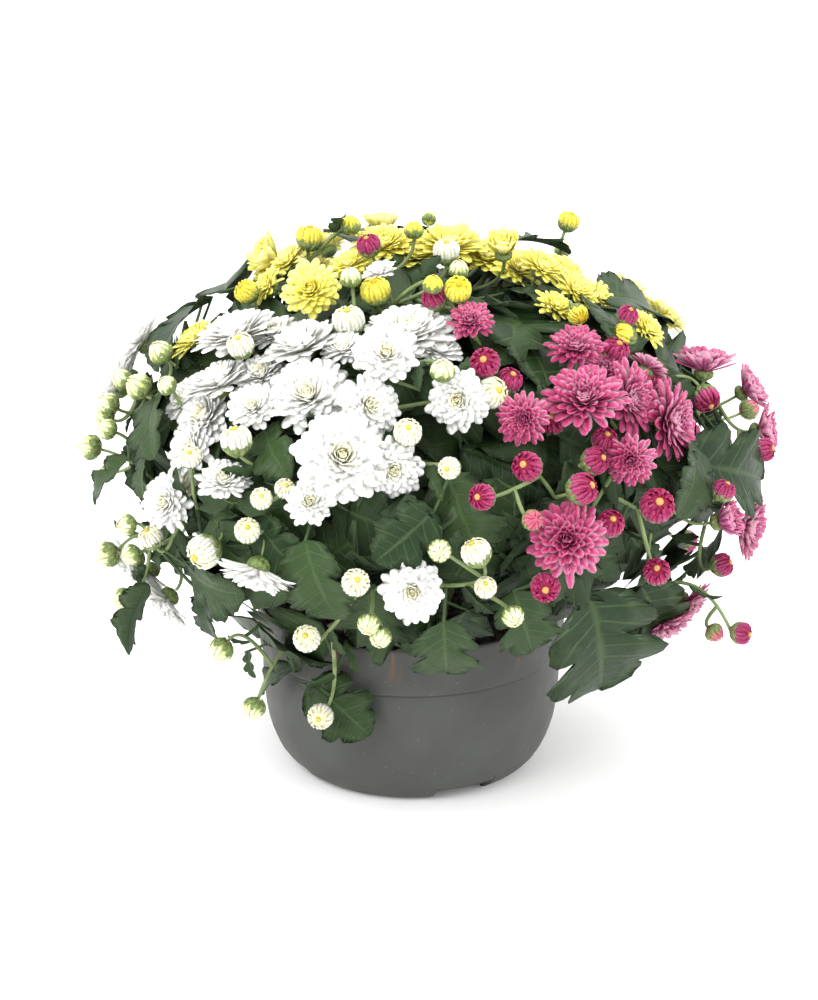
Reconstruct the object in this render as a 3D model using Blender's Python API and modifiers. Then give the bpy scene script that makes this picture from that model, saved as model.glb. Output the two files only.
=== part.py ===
"""Pot chrysanthemum: a low grey bowl of peat with three rooted cuttings, white, yellow and crimson,
whose leafy stems carry layered blooms and round buds in one domed head. Metres, +Z up."""

import math
from collections import namedtuple

import bmesh
import bpy
import numpy as np
from mathutils import Vector
from mathutils.bvhtree import BVHTree

MM = 0.001

# Driving dimensions of the bowl. The origin is on the surface under the middle of the head.
BOWL_CENTRE = np.array([-9.0, 0.0, 0.0]) * MM
RIM_RADIUS = 99.8 * MM
BOWL_HEIGHT = 111 * MM
COLLAR_BOTTOM = 80.5 * MM
FLOOR_UNDER = 6.5 * MM
FLOOR_TOP = 8.3 * MM
FOOT_RADIUS = 73 * MM
FOOT_WIDTH = 1.8 * MM
BOWL_SIDES = 32
NOTCH_HEIGHT = 5.5 * MM
NOTCH_COMPASS = [-66, 24, 114, 204]
NOTCH_WIDTH = 36 * MM
DRAIN_RADIUS = 5 * MM
DRAIN_OFFSET = 48 * MM
SEAT_GAP = 0.3 * MM

# Driving dimensions of the planting: the head is the dome of blooms
SOIL_TOP = 98 * MM
HEAD_CENTRE = np.array([0, 0, 205]) * MM
HEAD_RADII = np.array([198, 198, 140]) * MM
CUTTING_OFFSET = 36 * MM
STEM_SPREAD = 11 * MM
STEM_REACH = 0.62
STEM_RADIUS = 2.1 * MM
STEM_END_RADIUS = 1.4 * MM
STEM_POINTS = 5
FOOT_DEPTH = 22 * MM
FOOT_LENGTH = 26 * MM
TWIG_RADIUS = 0.75 * MM
TWIG_END_RADIUS = 0.9 * MM
NECK_RADIUS = 1.5 * MM
CUP_RADIUS = 4.0 * MM
CUP_HEIGHT = 5.0 * MM
BLOOM_SEAT_RADIUS = 3.6 * MM
STRAIGHT_UNDER = 48 * MM
STEM_SIDES = 5
STALK_SIDES = 4
BUD_SIDES = 5
CROWN_HEIGHT = 262 * MM
SPRAY_PLACES = 16
SPRAY_SPACING = 76 * MM
SPRAY_RADIUS = 18 * MM
SPRAY_LIFT = 9 * MM
BUD_PLACES = 58
BUD_SPACING = 24 * MM
SMALL_BUD = 12 * MM
BUD_LIFT = 9 * MM
FAR_LIFT = 18 * MM
HOLE_RADIUS = 2.85 * MM
HOLE_DEPTH = 40 * MM

# Rules for laying stalks and leaves clear of everything else
ROOM = 1.6 * MM
BOWL_ROOM = 3.5 * MM
CLEARANCE = 0.4 * MM
BOWS = [0, 10 * MM, 22 * MM, 38 * MM, 60 * MM, -10 * MM, -24 * MM]
CLASH_COST = 30 * MM
DEPTH_SHIFTS = [0, -4 * MM, 4 * MM, -8 * MM, 8 * MM, -13 * MM, 13 * MM]
FUSING_GAIN = 10 * MM
TRIES = 220
LEAF_PLACES = 52
LEAF_SINKS = [0, 8 * MM, 16 * MM, -6 * MM]
LEAF_TRIES = [(0, 0), (10 * MM, 0), (4 * MM, 0.6), (4 * MM, -0.6), (20 * MM, 0.3), (12 * MM, -1.1)]
LONGEST_PETIOLE = 60 * MM

# A leaf's edge: share of the blade's length and half width over the spread, from base to tip
LEAF_EDGE = [(0.26, 0.44), (0.42, 0.20), (0.60, 0.50), (0.74, 0.24)]
LEAF_RIB = [0.42, 0.74]
LEAF_ARCH = 0.09
LEAF_FOLD = 0.16
LEAF_HALF = 0.6 * MM
PETIOLE = 1.0 * MM
CROWN_SHARE = 0.92

# Petal rows from the underside up: reach and height of the tips, then of the notches, over radius
OPEN_ROWS = [(1.0, 0.16, 0.70, 0.10), (0.84, 0.36, 0.60, 0.28), (0.58, 0.52, 0.34, 0.44)]
SMALL_ROWS = [(1.0, 0.20, 0.68, 0.12), (0.66, 0.46, 0.42, 0.38)]
CUP_ROWS = [(1.0, 0.80, 0.80, 0.40), (0.66, 0.95, 0.46, 0.75)]

UP = np.array([0.0, 0.0, 1.0])
GOLDEN_ANGLE = math.pi * (3 - math.sqrt(5))

# The view that places are read from: its pitch, its eye and its scale in pixels
VIEW_PITCH = math.radians(19)
EYE_DISTANCE = 1450 * MM
AIM_HEIGHT = 173.5 * MM
FOCAL_PIXELS = 2272
MIDDLE_COLUMN = 425.5
MIDDLE_ROW = 500
VIEW_AHEAD = np.array([0, math.cos(VIEW_PITCH), -math.sin(VIEW_PITCH)])
VIEW_UP = np.array([0, math.sin(VIEW_PITCH), math.cos(VIEW_PITCH)])
VIEW_RIGHT = np.array([1.0, 0, 0])
EYE = UP * AIM_HEIGHT - VIEW_AHEAD * EYE_DISTANCE

# Open blooms: column and row in the view in pixels, width in mm, the turn from the eye and the
# clock angle it faces in degrees, and how far it stands above the head in mm
BLOOMS = {
    "white": {
        "large_front": (340, 455, 52, 15, 60, 10),
        "large_second": (305, 393, 48, 32, 110, 0),
        "beside_large": (368, 405, 37, 22, 30, -4),
        "cream_low": (391, 470, 34, 12, 300, -6),
        "cream_upper": (384, 352, 37, 25, 90, 12),
        "wide_upper": (405, 328, 54, 62, 95, -5),
        "between_upper": (341, 346, 27, 50, 110, -3),
        "edge_upper": (298, 340, 47, 70, 115, -2),
        "edge_left": (233, 328, 53, 75, 110, 0),
        "edge_left_low": (214, 378, 45, 75, 115, 0),
        "left_side": (200, 415, 40, 52, 150, -12),
        "cream_left": (250, 405, 31, 35, 120, -2),
        "left_cream_face": (187, 447, 35, 48, 155, -4),
        "low_left_face": (221, 478, 31, 45, 90, 4),
        "far_left_face": (163, 502, 34, 38, 180, 0),
        "cream_middle": (307, 502, 28, 15, 90, 2),
        "single_face": (455, 400, 36, 14, 200, 0),
        "single_low": (410, 592, 36, 10, 270, 4),
        "turned_down": (254, 578, 46, 98, 255, 2),
        "top_ball": (377, 270, 23, 65, 115, 0),
    },
    "yellow": {
        "front_face": (309, 288, 37, 30, 110, 4),
        "top_left": (383, 240, 42, 62, 95, -2),
        "top_middle": (450, 240, 46, 66, 88, 0),
        "top_side": (347, 262, 27, 60, 110, -4),
        "cup_right": (502, 247, 27, 55, 95, 5),
        "right_crest": (543, 264, 32, 65, 60, 0),
        "right_slope": (578, 288, 30, 60, 50, -2),
        "far_right": (648, 327, 26, 62, 40, 4),
        "left_under": (286, 258, 32, 80, 130, -2),
        "left_low": (263, 285, 27, 70, 150, -4),
        "far_left": (192, 336, 34, 78, 130, 0),
    },
    "crimson": {
        "large_upper": (582, 395, 49, 42, 90, 6),
        "pale_upper": (574, 344, 34, 46, 90, -2),
        "dark_left": (520, 419, 31, 14, 200, 2),
        "small_top": (469, 319, 27, 36, 90, 2),
        "turned_right": (632, 398, 46, 54, 10, -2),
        "tall_right": (674, 421, 50, 64, 5, 0),
        "dark_low": (628, 461, 31, 16, 270, 4),
        "from_behind": (648, 364, 27, 105, 60, -4),
        "right_up": (704, 362, 40, 80, 85, 0),
        "right_edge": (750, 388, 33, 80, 30, 0),
        "right_edge_low": (765, 430, 32, 80, 5, 0),
        "large_low": (565, 539, 46, 10, 90, 4),
        "cup_right": (724, 520, 27, 68, 12, 4),
        "edge_right": (748, 527, 41, 76, 345, -4),
    },
}

# Half-open heads: column, row, width in mm, turn and clock angle in degrees, lift in mm
BUTTONS = {
    "white": {
        "globe_left": (234, 441, 17, 70, 100, 10),
        "half_low_left": (203, 551, 19, 60, 215, 2),
        "half_top": (239, 346, 15, 50, 110, 6),
        "half_right": (489, 393, 17, 40, 20, -2),
        "half_upper": (347, 322, 18, 60, 100, -2),
        "half_far_left": (150, 538, 14, 60, 120, 0),
        "left_button": (188, 457, 13, 30, 100, 12),
        "behind_left": (184, 478, 20, 60, 240, -8),
        "front_button": (405, 433, 15, 30, 80, 4),
        "right_button": (447, 468, 12, 20, 200, 4),
        "low_button": (245, 531, 14, 20, 90, 4),
        "pair_button": (259, 499, 12, 20, 90, 4),
        "pair_green": (282, 489, 11, 30, 60, 0),
        "rim_left_button": (353, 583, 15, 20, 60, 6),
        "rim_button": (305, 639, 15, 20, 120, 6),
        "hanging_button": (320, 716, 15, 25, 230, 4),
        "half_low_right": (474, 553, 16, 60, 120, 4),
        "pink_low": (483, 588, 12, 30, 90, 4),
        "top_half": (445, 252, 15, 65, 90, 6),
    },
    "yellow": {
        "cup_left": (255, 250, 23, 72, 155, 4),
        "cup_second": (309, 238, 16, 80, 85, 6),
        "cup_top": (381, 211, 20, 85, 90, 8),
        "top_button": (456, 290, 15, 30, 80, 8),
        "left_button": (246, 292, 14, 60, 140, 0),
        "right_end": (591, 290, 16, 70, 40, -4),
        "right_tip": (576, 314, 12, 50, 300, -2),
        "hidden_right": (622, 338, 16, 70, 150, -4),
        "hidden_middle": (374, 292, 17, 60, 100, -8),
    },
    "crimson": {
        "left_upper": (483, 363, 16, 20, 120, 6),
        "left_second": (507, 381, 14, 50, 60, -4),
        "front_upper": (525, 467, 16, 25, 150, 2),
        "left_low": (480, 497, 14, 30, 180, 4),
        "branch_end": (579, 489, 17, 60, 20, 6),
        "behind_dark": (550, 420, 16, 20, 90, -8),
        "pair_upper": (602, 440, 14, 40, 60, -2),
        "pair_lower": (592, 461, 15, 60, 20, -2),
        "beside_large": (608, 524, 15, 30, 60, 0),
        "right_face": (655, 506, 19, 20, 60, 4),
        "low_right": (655, 572, 15, 20, 90, 4),
        "low_left": (543, 587, 16, 15, 270, 4),
        "right_under": (722, 491, 13, 70, 60, 4),
        "right_low": (721, 565, 14, 70, 20, 0),
        "edge_low": (763, 450, 14, 75, 10, -6),
        "right_behind": (705, 398, 16, 60, 300, -6),
        "pale_behind": (613, 352, 16, 60, 60, -8),
        "top_pink": (433, 299, 14, 60, 120, 0),
        "top_left_pink": (368, 246, 14, 60, 110, 4),
        "top_right_pink": (626, 316, 12, 60, 60, 2),
        "hanging_right": (740, 633, 13, 70, 350, 0),
    },
}

# Closed buds: column and row in the view in pixels, and width in mm
BUDS = {
    "white": {
        "far_left": [(89, 447, 15), (107, 404, 14), (103, 416, 13), (106, 429, 12)],
        "left_top": [(121, 379, 12), (137, 386, 15), (159, 352, 14), (165, 385, 11)],
        "left_low": [(106, 555, 15), (130, 555, 12), (125, 525, 12), (123, 599, 13)],
        "over_rim": [(253, 708, 13), (220, 650, 14), (366, 625, 12), (378, 638, 12)],
        "front_low": [(437, 551, 12), (511, 617, 12)],
        "top": [(440, 370, 13), (349, 277, 12), (457, 269, 11)],
    },
    "yellow": {
        "top": [(413, 230, 11), (350, 225, 12), (431, 284, 11)],
    },
    "crimson": {
        "right_low": [(714, 633, 11), (530, 520, 11)],
    },
}

# Large leaves that the view shows: column and row of the tip and of the blade's base, and the
# blade's width over its length
LEAVES = {
    "crimson": {
        "hanging_broad": (598, 690, 588, 592, 0.86),
        "right_spear": (767, 480, 676, 462, 0.62),
        "behind_small_top": (548, 382, 487, 302, 0.70),
        "top_right": (560, 312, 505, 292, 0.50),
        "serrated": (624, 352, 594, 306, 0.80),
        "low_right": (660, 640, 640, 585, 0.80),
        "low_middle": (530, 652, 512, 590, 0.75),
    },
    "white": {
        "low_left": (124, 655, 148, 585, 0.66),
        "over_bowl": (365, 733, 322, 678, 0.80),
        "shoulder": (302, 575, 256, 520, 0.80),
        "left_fan": (238, 598, 186, 564, 0.80),
        "dark_centre": (285, 478, 262, 430, 0.75),
        "front_centre": (372, 562, 432, 510, 0.80),
        "far_left_spear": (92, 503, 128, 458, 0.40),
        "left_inner": (140, 498, 150, 448, 0.70),
        "below_turned": (215, 640, 205, 596, 0.70),
    },
}

# Leafy stems: the compass angle at which each cutting stands in the bowl and, for each stem that
# rises from it, the compass and height angle of its end in the head and the side its foot is on
CUTTINGS = {
    "white": (222, [(182, 32, 150), (222, 52, 60), (262, 58, 330), (206, 8, 206), (258, 16, 268)]),
    "crimson": (322, [(292, 50, 220), (335, 46, 130), (4, 14, 0), (312, 14, 300), (30, 34, 60)]),
    "yellow": (92, [(128, 62, 235), (64, 60, 320), (142, 20, 165), (88, 24, 88)]),
}

PETAL_COLOURS = {
    "white": (0.90, 0.89, 0.82, 1),
    "yellow": (0.93, 0.80, 0.06, 1),
    "crimson": (0.52, 0.06, 0.22, 1),
}
BOWL_COLOUR = (0.115, 0.118, 0.120, 1)
PEAT_COLOUR = (0.030, 0.018, 0.011, 1)
GREEN_COLOUR = (0.045, 0.085, 0.030, 1)

Head = namedtuple("Head", "colour kind name centre axis width")
Wall = namedtuple("Wall", "owner middle reach tree")


def unit(vectors):
    """Vectors brought to length one along the last axis."""
    return vectors / np.maximum(np.linalg.norm(vectors, axis=-1, keepdims=True), 1e-12)


def on_head(column, row, lift):
    """Where the line of sight through a pixel meets the head, an ellipsoid raised by lift. The
    space is scaled until the ellipsoid is a unit ball; a line that misses it gives its nearest
    point to the centre."""
    radii = HEAD_RADII + lift
    sight = VIEW_AHEAD + VIEW_RIGHT * (column - MIDDLE_COLUMN) / FOCAL_PIXELS
    sight = sight + VIEW_UP * (MIDDLE_ROW - row) / FOCAL_PIXELS
    start = (EYE - HEAD_CENTRE) / radii
    step = sight / radii
    middle = -(start @ step) / (step @ step)
    miss = start + middle * step
    inside = max(0.0, 1 - miss @ miss)
    return EYE + sight * (middle - math.sqrt(inside / (step @ step)))


def facing(place, turn, clock):
    """The direction at an angle turn from the line to the eye, towards a clock angle in the view."""
    to_eye = unit(EYE - place)
    side = unit(np.cross(VIEW_UP, to_eye))
    rise = np.cross(to_eye, side)
    turn, clock = math.radians(turn), math.radians(clock)
    across = side * math.cos(clock) + rise * math.sin(clock)
    return to_eye * math.cos(turn) + across * math.sin(turn)


def outward(place):
    """The direction in which the head faces at a place."""
    return unit((place - HEAD_CENTRE) / HEAD_RADII**2)


def head_lattice(count, lowest):
    """Evenly spread places on the head from its top down to a height fraction, on a golden spiral."""
    order = np.arange(count) + 0.5
    height = 1 - order / count * (1 - lowest)
    ring = np.sqrt(1 - height**2)
    angle = order * GOLDEN_ANGLE
    ball = np.stack([ring * np.cos(angle), ring * np.sin(angle), height], axis=-1)
    return HEAD_CENTRE + ball * HEAD_RADII


def cutting_at(place):
    """Which of the three cuttings grows at a place, by compass angle, with yellow on the crown."""
    angle = math.degrees(math.atan2(place[1], place[0])) % 360
    if place[2] > CROWN_HEIGHT and 15 < angle < 165:
        return "yellow"
    if angle < 48 or angle > 288:
        return "crimson"
    return "yellow" if angle < 138 else "white"


def hidden(place):
    """Whether the head turns a place away from the view."""
    return outward(place) @ unit(EYE - place) < 0


def on_dome(place):
    """The point of the head's dome that lies outward from a place."""
    return HEAD_CENTRE + HEAD_RADII * unit((place - HEAD_CENTRE) / HEAD_RADII)


def plan_blooms():
    """Every open bloom. The near side is read from the view. On the far side a lattice holds
    sprays of three blooms that touch."""
    heads = []
    draw = np.random.default_rng(7)
    for colour, named in BLOOMS.items():
        for name, (column, row, width, turn, clock, lift) in named.items():
            place = on_head(column, row, lift * MM)
            heads.append(Head(colour, "bloom", name, place, facing(place, turn, clock), width * MM))
    for number, place in enumerate(head_lattice(SPRAY_PLACES, -0.62)):
        sizes, first = draw.uniform(34, 43, 3) * MM, draw.uniform(0, 2)
        gap = min(np.linalg.norm(place - head.centre) for head in heads)
        if gap < SPRAY_SPACING or not hidden(place):
            continue
        side = unit(np.cross(outward(place), UP))
        rise = np.cross(side, outward(place))
        for k, size in enumerate(sizes):
            turn = first + k * 2 * math.pi / 3
            spot = on_dome(place + (side * math.cos(turn) + rise * math.sin(turn)) * SPRAY_RADIUS)
            spot = spot + outward(spot) * SPRAY_LIFT
            axis = unit(outward(spot) + draw.normal(0, 0.1, 3))
            heads.append(Head(cutting_at(place), "bloom", f"far_{number}_{k}", spot, axis, size))
    return heads


def plan_small_heads(blooms):
    """Every button and bud: the near side is read from the view, and on the far side a lattice
    fills the room between the blooms."""
    heads = []
    draw = np.random.default_rng(11)
    for colour, named in BUTTONS.items():
        for name, (column, row, width, turn, clock, lift) in named.items():
            place = on_head(column, row, lift * MM)
            heads.append(Head(colour, "button", name, place, facing(place, turn, clock), width * MM))
    for colour, groups in BUDS.items():
        for group, places in groups.items():
            for number, (column, row, width) in enumerate(places):
                place = on_head(column, row, BUD_LIFT)
                axis = unit(outward(place) + 0.15 * UP)
                heads.append(Head(colour, "bud", f"{group}_{number}", place, axis, width * MM))
    for number, place in enumerate(head_lattice(BUD_PLACES, -0.66)):
        size, lean = draw.uniform(9, 16) * MM, draw.normal(0, 0.25, 3)
        kind = "button" if draw.uniform() < 0.4 else "bud"
        gap = min(np.linalg.norm(place - h.centre) - 0.5 * h.width for h in blooms + heads)
        if gap > BUD_SPACING and hidden(place):
            place = place + outward(place) * FAR_LIFT
            axis = unit(outward(place) + lean)
            heads.append(Head(cutting_at(place), kind, f"far_{number}", place, axis, size))
    return heads


def moved(head, shift):
    """A head moved along the line of sight, which leaves it where the view shows it."""
    return head._replace(centre=head.centre + unit(head.centre - EYE) * shift)


def place_blooms():
    """Moves each bloom along the line of sight until it is clear of the other colours. A place
    where it grows into blooms of its own colour is preferred."""
    walls, placed = [], []
    for head in plan_blooms():
        best = None
        for shift in DEPTH_SHIFTS:
            trial = moved(head, shift)
            grown = bloom_shape(trial._replace(width=trial.width + 2 * CLEARANCE))
            if meets_bowl(grown) or crossed(grown, walls, head.colour):
                continue
            fused = crossed(bloom_shape(trial), walls) > 0
            cost = abs(shift) - FUSING_GAIN * fused
            if best is None or cost < best[0]:
                best = (cost, trial)
        if best is None:
            print("LEFT OUT", head.colour, head.kind, head.name)
            continue
        placed.append(best[1])
        walls.append(wall_of(head.colour, bloom_shape(best[1])))
    return placed


def seat_of(head):
    """Where a head joins its stalk: below its centre, along its axis."""
    return head.centre - head.axis * head.width * (0.17 if head.kind == "bloom" else 0.5)


def inside_heads(points, heads):
    """How many of the heads each point falls in. A head's room is a flat ellipsoid."""
    total = np.zeros(points.shape[:-1])
    for head in heads:
        away = points - head.centre
        above = away @ head.axis
        across = np.linalg.norm(away - above[..., None] * head.axis, axis=-1)
        half = (0.23 if head.kind == "bloom" else 0.55) * head.width + ROOM
        total += (above / half) ** 2 + (across / (0.5 * head.width + ROOM)) ** 2 < 1
    return total


def inside_bowl(points):
    """Whether points fall in the bowl's wall or its peat, with a little room round it."""
    radius = np.linalg.norm((points - BOWL_CENTRE)[..., :2], axis=-1)
    low = points[..., 2] < BOWL_HEIGHT + BOWL_ROOM
    wall = (radius > RIM_RADIUS - 1.8 * MM - BOWL_ROOM) & (radius < RIM_RADIUS + BOWL_ROOM)
    peat = (radius < RIM_RADIUS) & (points[..., 2] < SOIL_TOP + BOWL_ROOM)
    return low & (wall | peat)


def bezier(corners, shares):
    """Points on a Bezier curve of any degree, by drawing in its corners towards each other."""
    shares = np.asarray(shares)[..., None]
    corners = list(corners)
    while len(corners) > 1:
        corners = [a + (b - a) * shares for a, b in zip(corners, corners[1:])]
    return corners[0]


def along(line, shares):
    """Points at shares of a line, counted by its corners, and the line's direction there."""
    place = np.clip(np.asarray(shares), 0, 1) * (len(line) - 1)
    first = np.minimum(place.astype(int), len(line) - 2)
    part = (place - first)[..., None]
    return line[first] * (1 - part) + line[first + 1] * part, unit(line[first + 1] - line[first])


def plan_stems():
    """The leafy stems' centre lines: upright out of a hole in the peat, then bent into the head."""
    stems = {}
    for colour, (compass, ends) in CUTTINGS.items():
        compass = math.radians(compass)
        foot = BOWL_CENTRE + CUTTING_OFFSET * np.array([math.cos(compass), math.sin(compass), 0])
        for number, stem_angles in enumerate(ends):
            angle, height, side = np.radians(stem_angles)
            way = np.array([math.cos(angle), math.sin(angle), 0])
            step = np.array([math.cos(side), math.sin(side), 0])
            aim = way * math.cos(height) + UP * math.sin(height)
            end = HEAD_CENTRE * [1, 1, 0.7] + aim * STEM_REACH / np.linalg.norm(aim / HEAD_RADII)
            start = foot + step * STEM_SPREAD + UP * (SOIL_TOP - FOOT_DEPTH)
            free = start + UP * FOOT_LENGTH
            bend = bezier([free, free + UP * 0.4 * FOOT_LENGTH, end - aim * FOOT_LENGTH, end],
                          np.linspace(0, 1, STEM_POINTS))
            stems[f"{colour}_stem_{number + 1}"] = np.vstack([start, bend])
    return stems


def stem_for(colour, place):
    """The stem of a cutting that passes nearest to a place."""
    gaps = {}
    for name, line in STEMS.items():
        if name.startswith(colour):
            upper = along(line, np.linspace(0.5, 1, 6))[0]
            gaps[name] = np.linalg.norm(upper - place, axis=-1).min()
    return min(gaps, key=gaps.get)


def stalk_lines(head, hosts):
    """Lines from places on the hosts to a head, the short and climbing ones first. They arrive
    along the head's axis, and bow up or down on the way."""
    end = seat_of(head)
    if head.kind == "bloom":
        end = end - head.axis * (CUP_HEIGHT + SEAT_GAP)
    starts, ways = [], []
    for line, first, last in hosts:
        places, directions = along(line, np.linspace(first, last, 9))
        starts.append(places)
        ways.append(directions)
    starts, ways = np.concatenate(starts), np.concatenate(ways)
    gaps = np.linalg.norm(end - starts, axis=-1)
    bows = np.array(BOWS)[:, None]
    middles = (end - head.axis * gaps[:, None] * 0.4)[None] + UP * bows[..., None]
    share = np.linspace(0.15, 0.95, 8)[:, None]
    paths = (1 - share) ** 2 * starts[None, :, None] + share**2 * end
    paths = paths + 2 * share * (1 - share) * middles[:, :, None]
    bad = inside_heads(paths, BLOOM_HEADS).sum(axis=-1) + inside_bowl(paths).sum(axis=-1)
    climb = (unit(middles - starts) * ways).sum(axis=-1)
    cost = gaps * (1.3 - 0.3 * climb) + 0.4 * np.abs(bows) + CLASH_COST * bad
    cost = cost + np.where(gaps < 8 * MM, 1, 0)
    for pick in np.argsort(cost, axis=None, kind="stable")[:TRIES]:
        bow, start = np.unravel_index(pick, cost.shape)
        corners = [starts[start], middles[bow, start], end]
        yield bezier(corners, np.linspace(0, 1, 2 if gaps[start] < STRAIGHT_UNDER else 3))


def plan_stalks():
    """A stalk for each head, as its stem's name, the head and a line: the best line from the head's
    stem, or from an earlier stalk of it, that crosses nothing."""
    walls = [wall_of("bloom", bloom_shape(head)) for head in BLOOM_HEADS]
    walls += [wall_of(name, stem_shape(line)) for name, line in STEMS.items()]
    hosts = {name: [(line, 0.35, 1.0)] for name, line in STEMS.items()}
    stalks = []
    for head in BLOOM_HEADS + plan_small_heads(BLOOM_HEADS):
        stem = stem_for(head.colour, head.centre)
        found = None
        for shift in DEPTH_SHIFTS if head.kind != "bloom" else [0]:
            trial = moved(head, shift)
            for line in stalk_lines(trial, hosts[stem]):
                grown = stalk_shape(trial, line, CLEARANCE)
                if not meets_bowl(grown) and not crossed(grown, walls, stem):
                    found = (stem, trial, line)
                    break
            if found:
                break
        if not found:
            print("CROWDED", head.colour, head.kind, head.name)
            continue
        stalks.append(found)
        hosts[stem].append((found[2], 0.25, 0.75))
        walls.append(wall_of(stem, stalk_shape(found[1], found[2])))
    return stalks


def plan_leaves():
    """Leaves to try: colour, blade base, tip, the way the blade faces and its spread. The large
    ones are read from the view; the others end on a lattice just under the head."""
    leaves = []
    for colour, named in LEAVES.items():
        for tip_column, tip_row, base_column, base_row, spread in named.values():
            for sink in LEAF_SINKS:
                tip = on_head(tip_column, tip_row, -2 * MM - sink)
                base = on_head(base_column, base_row, -12 * MM - sink)
                leaves.append((colour, base, tip, outward(0.5 * (base + tip)), spread))
            leaves.append(None)
    draw = np.random.default_rng(23)
    for place in head_lattice(LEAF_PLACES, -0.8):
        face = outward(place)
        down = -UP + (UP @ face) * face + (place - HEAD_CENTRE) * 0.5
        down = unit(down - (down @ face) * face)
        length, spread = draw.uniform(44, 60) * MM, draw.uniform(0.74, 0.92)
        first = draw.normal(0, 0.6)
        for sink, turn in LEAF_TRIES:
            way = down * math.cos(first + turn) + np.cross(face, down) * math.sin(first + turn)
            tip = place - face * sink
            base = tip - way * length - face * length * 0.25
            leaves.append((cutting_at(place), base, tip, face, spread))
        leaves.append(None)
    return leaves


def petiole_root(colour, base, tip):
    """The stem, and the place on it or on one of its stalks, from which a leaf's petiole is short,
    runs on into the blade and is clear of the heads and the bowl."""
    hosts, starts = [], []
    for name, line in STEMS.items():
        if name.startswith(colour):
            starts.append(along(line, np.linspace(0.3, 1, 20))[0])
            hosts += [name] * 20
    for name, _, line in STALKS:
        if name.startswith(colour):
            starts.append(along(line, np.linspace(0.1, 0.75, 8))[0])
            hosts += [name] * 8
    starts = np.concatenate(starts)
    gaps = np.linalg.norm(base - starts, axis=-1)
    paths = starts[:, None] + (base - starts)[:, None] * np.linspace(0.2, 1, 5)[:, None]
    bad = inside_heads(paths, BLOOM_HEADS).sum(axis=-1) + inside_bowl(paths).sum(axis=-1)
    turn = 1 - (unit(base - starts) * unit(tip - base)).sum(axis=-1)
    pick = int(np.argmin(gaps + 12 * MM * turn + CLASH_COST * bad))
    return hosts[pick], starts[pick]


def sweep(points, radii, count, pole=None):
    """The corners and faces of a closed tube of a number of sides, with a radius at each point of
    a line. It ends flat, or in a pole."""
    ways = unit(np.gradient(points, axis=0))
    helper = np.eye(3)[np.argmin(np.abs(ways).sum(axis=0))]
    side = unit(helper - (ways @ helper)[:, None] * ways)
    other = np.cross(ways, side)
    turn = np.arange(count) * 2 * math.pi / count
    circle = np.cos(turn)[:, None] * side[:, None] + np.sin(turn)[:, None] * other[:, None]
    corners = (points[:, None] + circle * np.array(radii)[:, None, None]).reshape(-1, 3)
    last = (len(points) - 1) * count
    faces = [list(range(count))[::-1]]
    for low in range(0, last, count):
        for k in range(count):
            after = (k + 1) % count
            faces.append([low + k, low + after, low + count + after, low + count + k])
    if pole is None:
        return corners, faces + [list(range(last, last + count))]
    faces += [[last + k, last + (k + 1) % count, len(corners)] for k in range(count)]
    return np.vstack([corners, pole]), faces


def stem_shape(line):
    """A main stem, thinning upwards."""
    return sweep(line, np.linspace(STEM_RADIUS, STEM_END_RADIUS, len(line)), STEM_SIDES)


def stalk_shape(head, line, grow=0.0):
    """A stalk with its green cup, or with its bud or button, as one swept body. It can be grown by
    a margin."""
    seat = seat_of(head)
    radii = [TWIG_RADIUS] + [TWIG_END_RADIUS] * (len(line) - 1)
    if head.kind == "bloom":
        points = np.vstack([line, seat - head.axis * SEAT_GAP])
        radii = np.array(radii[:-1] + [NECK_RADIUS, CUP_RADIUS]) + 0.5 * grow
        return sweep(points, radii, STALK_SIDES)
    widest, shoulder, narrow = (0.42, 0.82, 0.31) if head.kind == "bud" else (0.6, 0.95, 0.36)
    shares = [widest] if head.width < SMALL_BUD else [widest, shoulder]
    rings = [seat + head.axis * head.width * share for share in shares]
    radii = np.array(radii + [0.5 * head.width, narrow * head.width][:len(shares)]) + grow
    return sweep(np.vstack([line] + rings), radii, BUD_SIDES, seat + head.axis * (head.width + grow))


def bloom_shape(head):
    """A bloom's corners and faces. Each row of petals is a ring of tips and notches in turn, and
    stands half a petal round from the row below; the underside closes on a flat seat."""
    radius = 0.5 * head.width
    petals = 9 if radius > 22 * MM else 8 if radius > 17 * MM else 7
    rows = OPEN_ROWS if radius > 19 * MM else SMALL_ROWS
    if head.name.startswith("far"):
        petals, rows = 7, SMALL_ROWS
    if head.name.startswith("cup"):
        rows = CUP_ROWS
    seat = seat_of(head)
    helper = np.eye(3)[np.argmin(np.abs(head.axis))]
    side = unit(np.cross(head.axis, helper))
    turn = np.arange(2 * petals) * math.pi / petals
    spokes = np.cos(turn)[:, None] * side + np.sin(turn)[:, None] * np.cross(head.axis, side)
    rings = [seat + spokes[::2] * BLOOM_SEAT_RADIUS]
    for number, (tip, tip_height, notch, notch_height) in enumerate(rows):
        pair = [(tip, tip_height), (notch, notch_height)]
        reach, height = np.tile(pair if number % 2 == 0 else pair[::-1], (petals, 1)).T * radius
        rings.append(seat + spokes * reach[:, None] + head.axis * height[:, None])
    crown = seat + head.axis * radius * rows[-1][1] * CROWN_SHARE
    faces = [list(range(petals))[::-1]]
    count = 2 * petals
    for k in range(petals):
        after = (k + 1) % petals
        tip, notch, next_tip = petals + 2 * k, petals + 2 * k + 1, petals + 2 * after
        faces += [[k, notch, tip], [k, after, notch], [after, next_tip, notch]]
    for row in range(len(rows) - 1):
        low = petals + row * count
        for k in range(count):
            after = (k + 1) % count
            a, b, c, d = low + k, low + after, low + count + after, low + count + k
            faces += [[a, b, d], [b, c, d]] if (k + row) % 2 else [[a, b, c], [a, c, d]]
    low = petals + (len(rows) - 1) * count
    faces += [[low + k, low + (k + 1) % count, low + count] for k in range(count)]
    return np.vstack(rings + [crown]), faces


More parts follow.
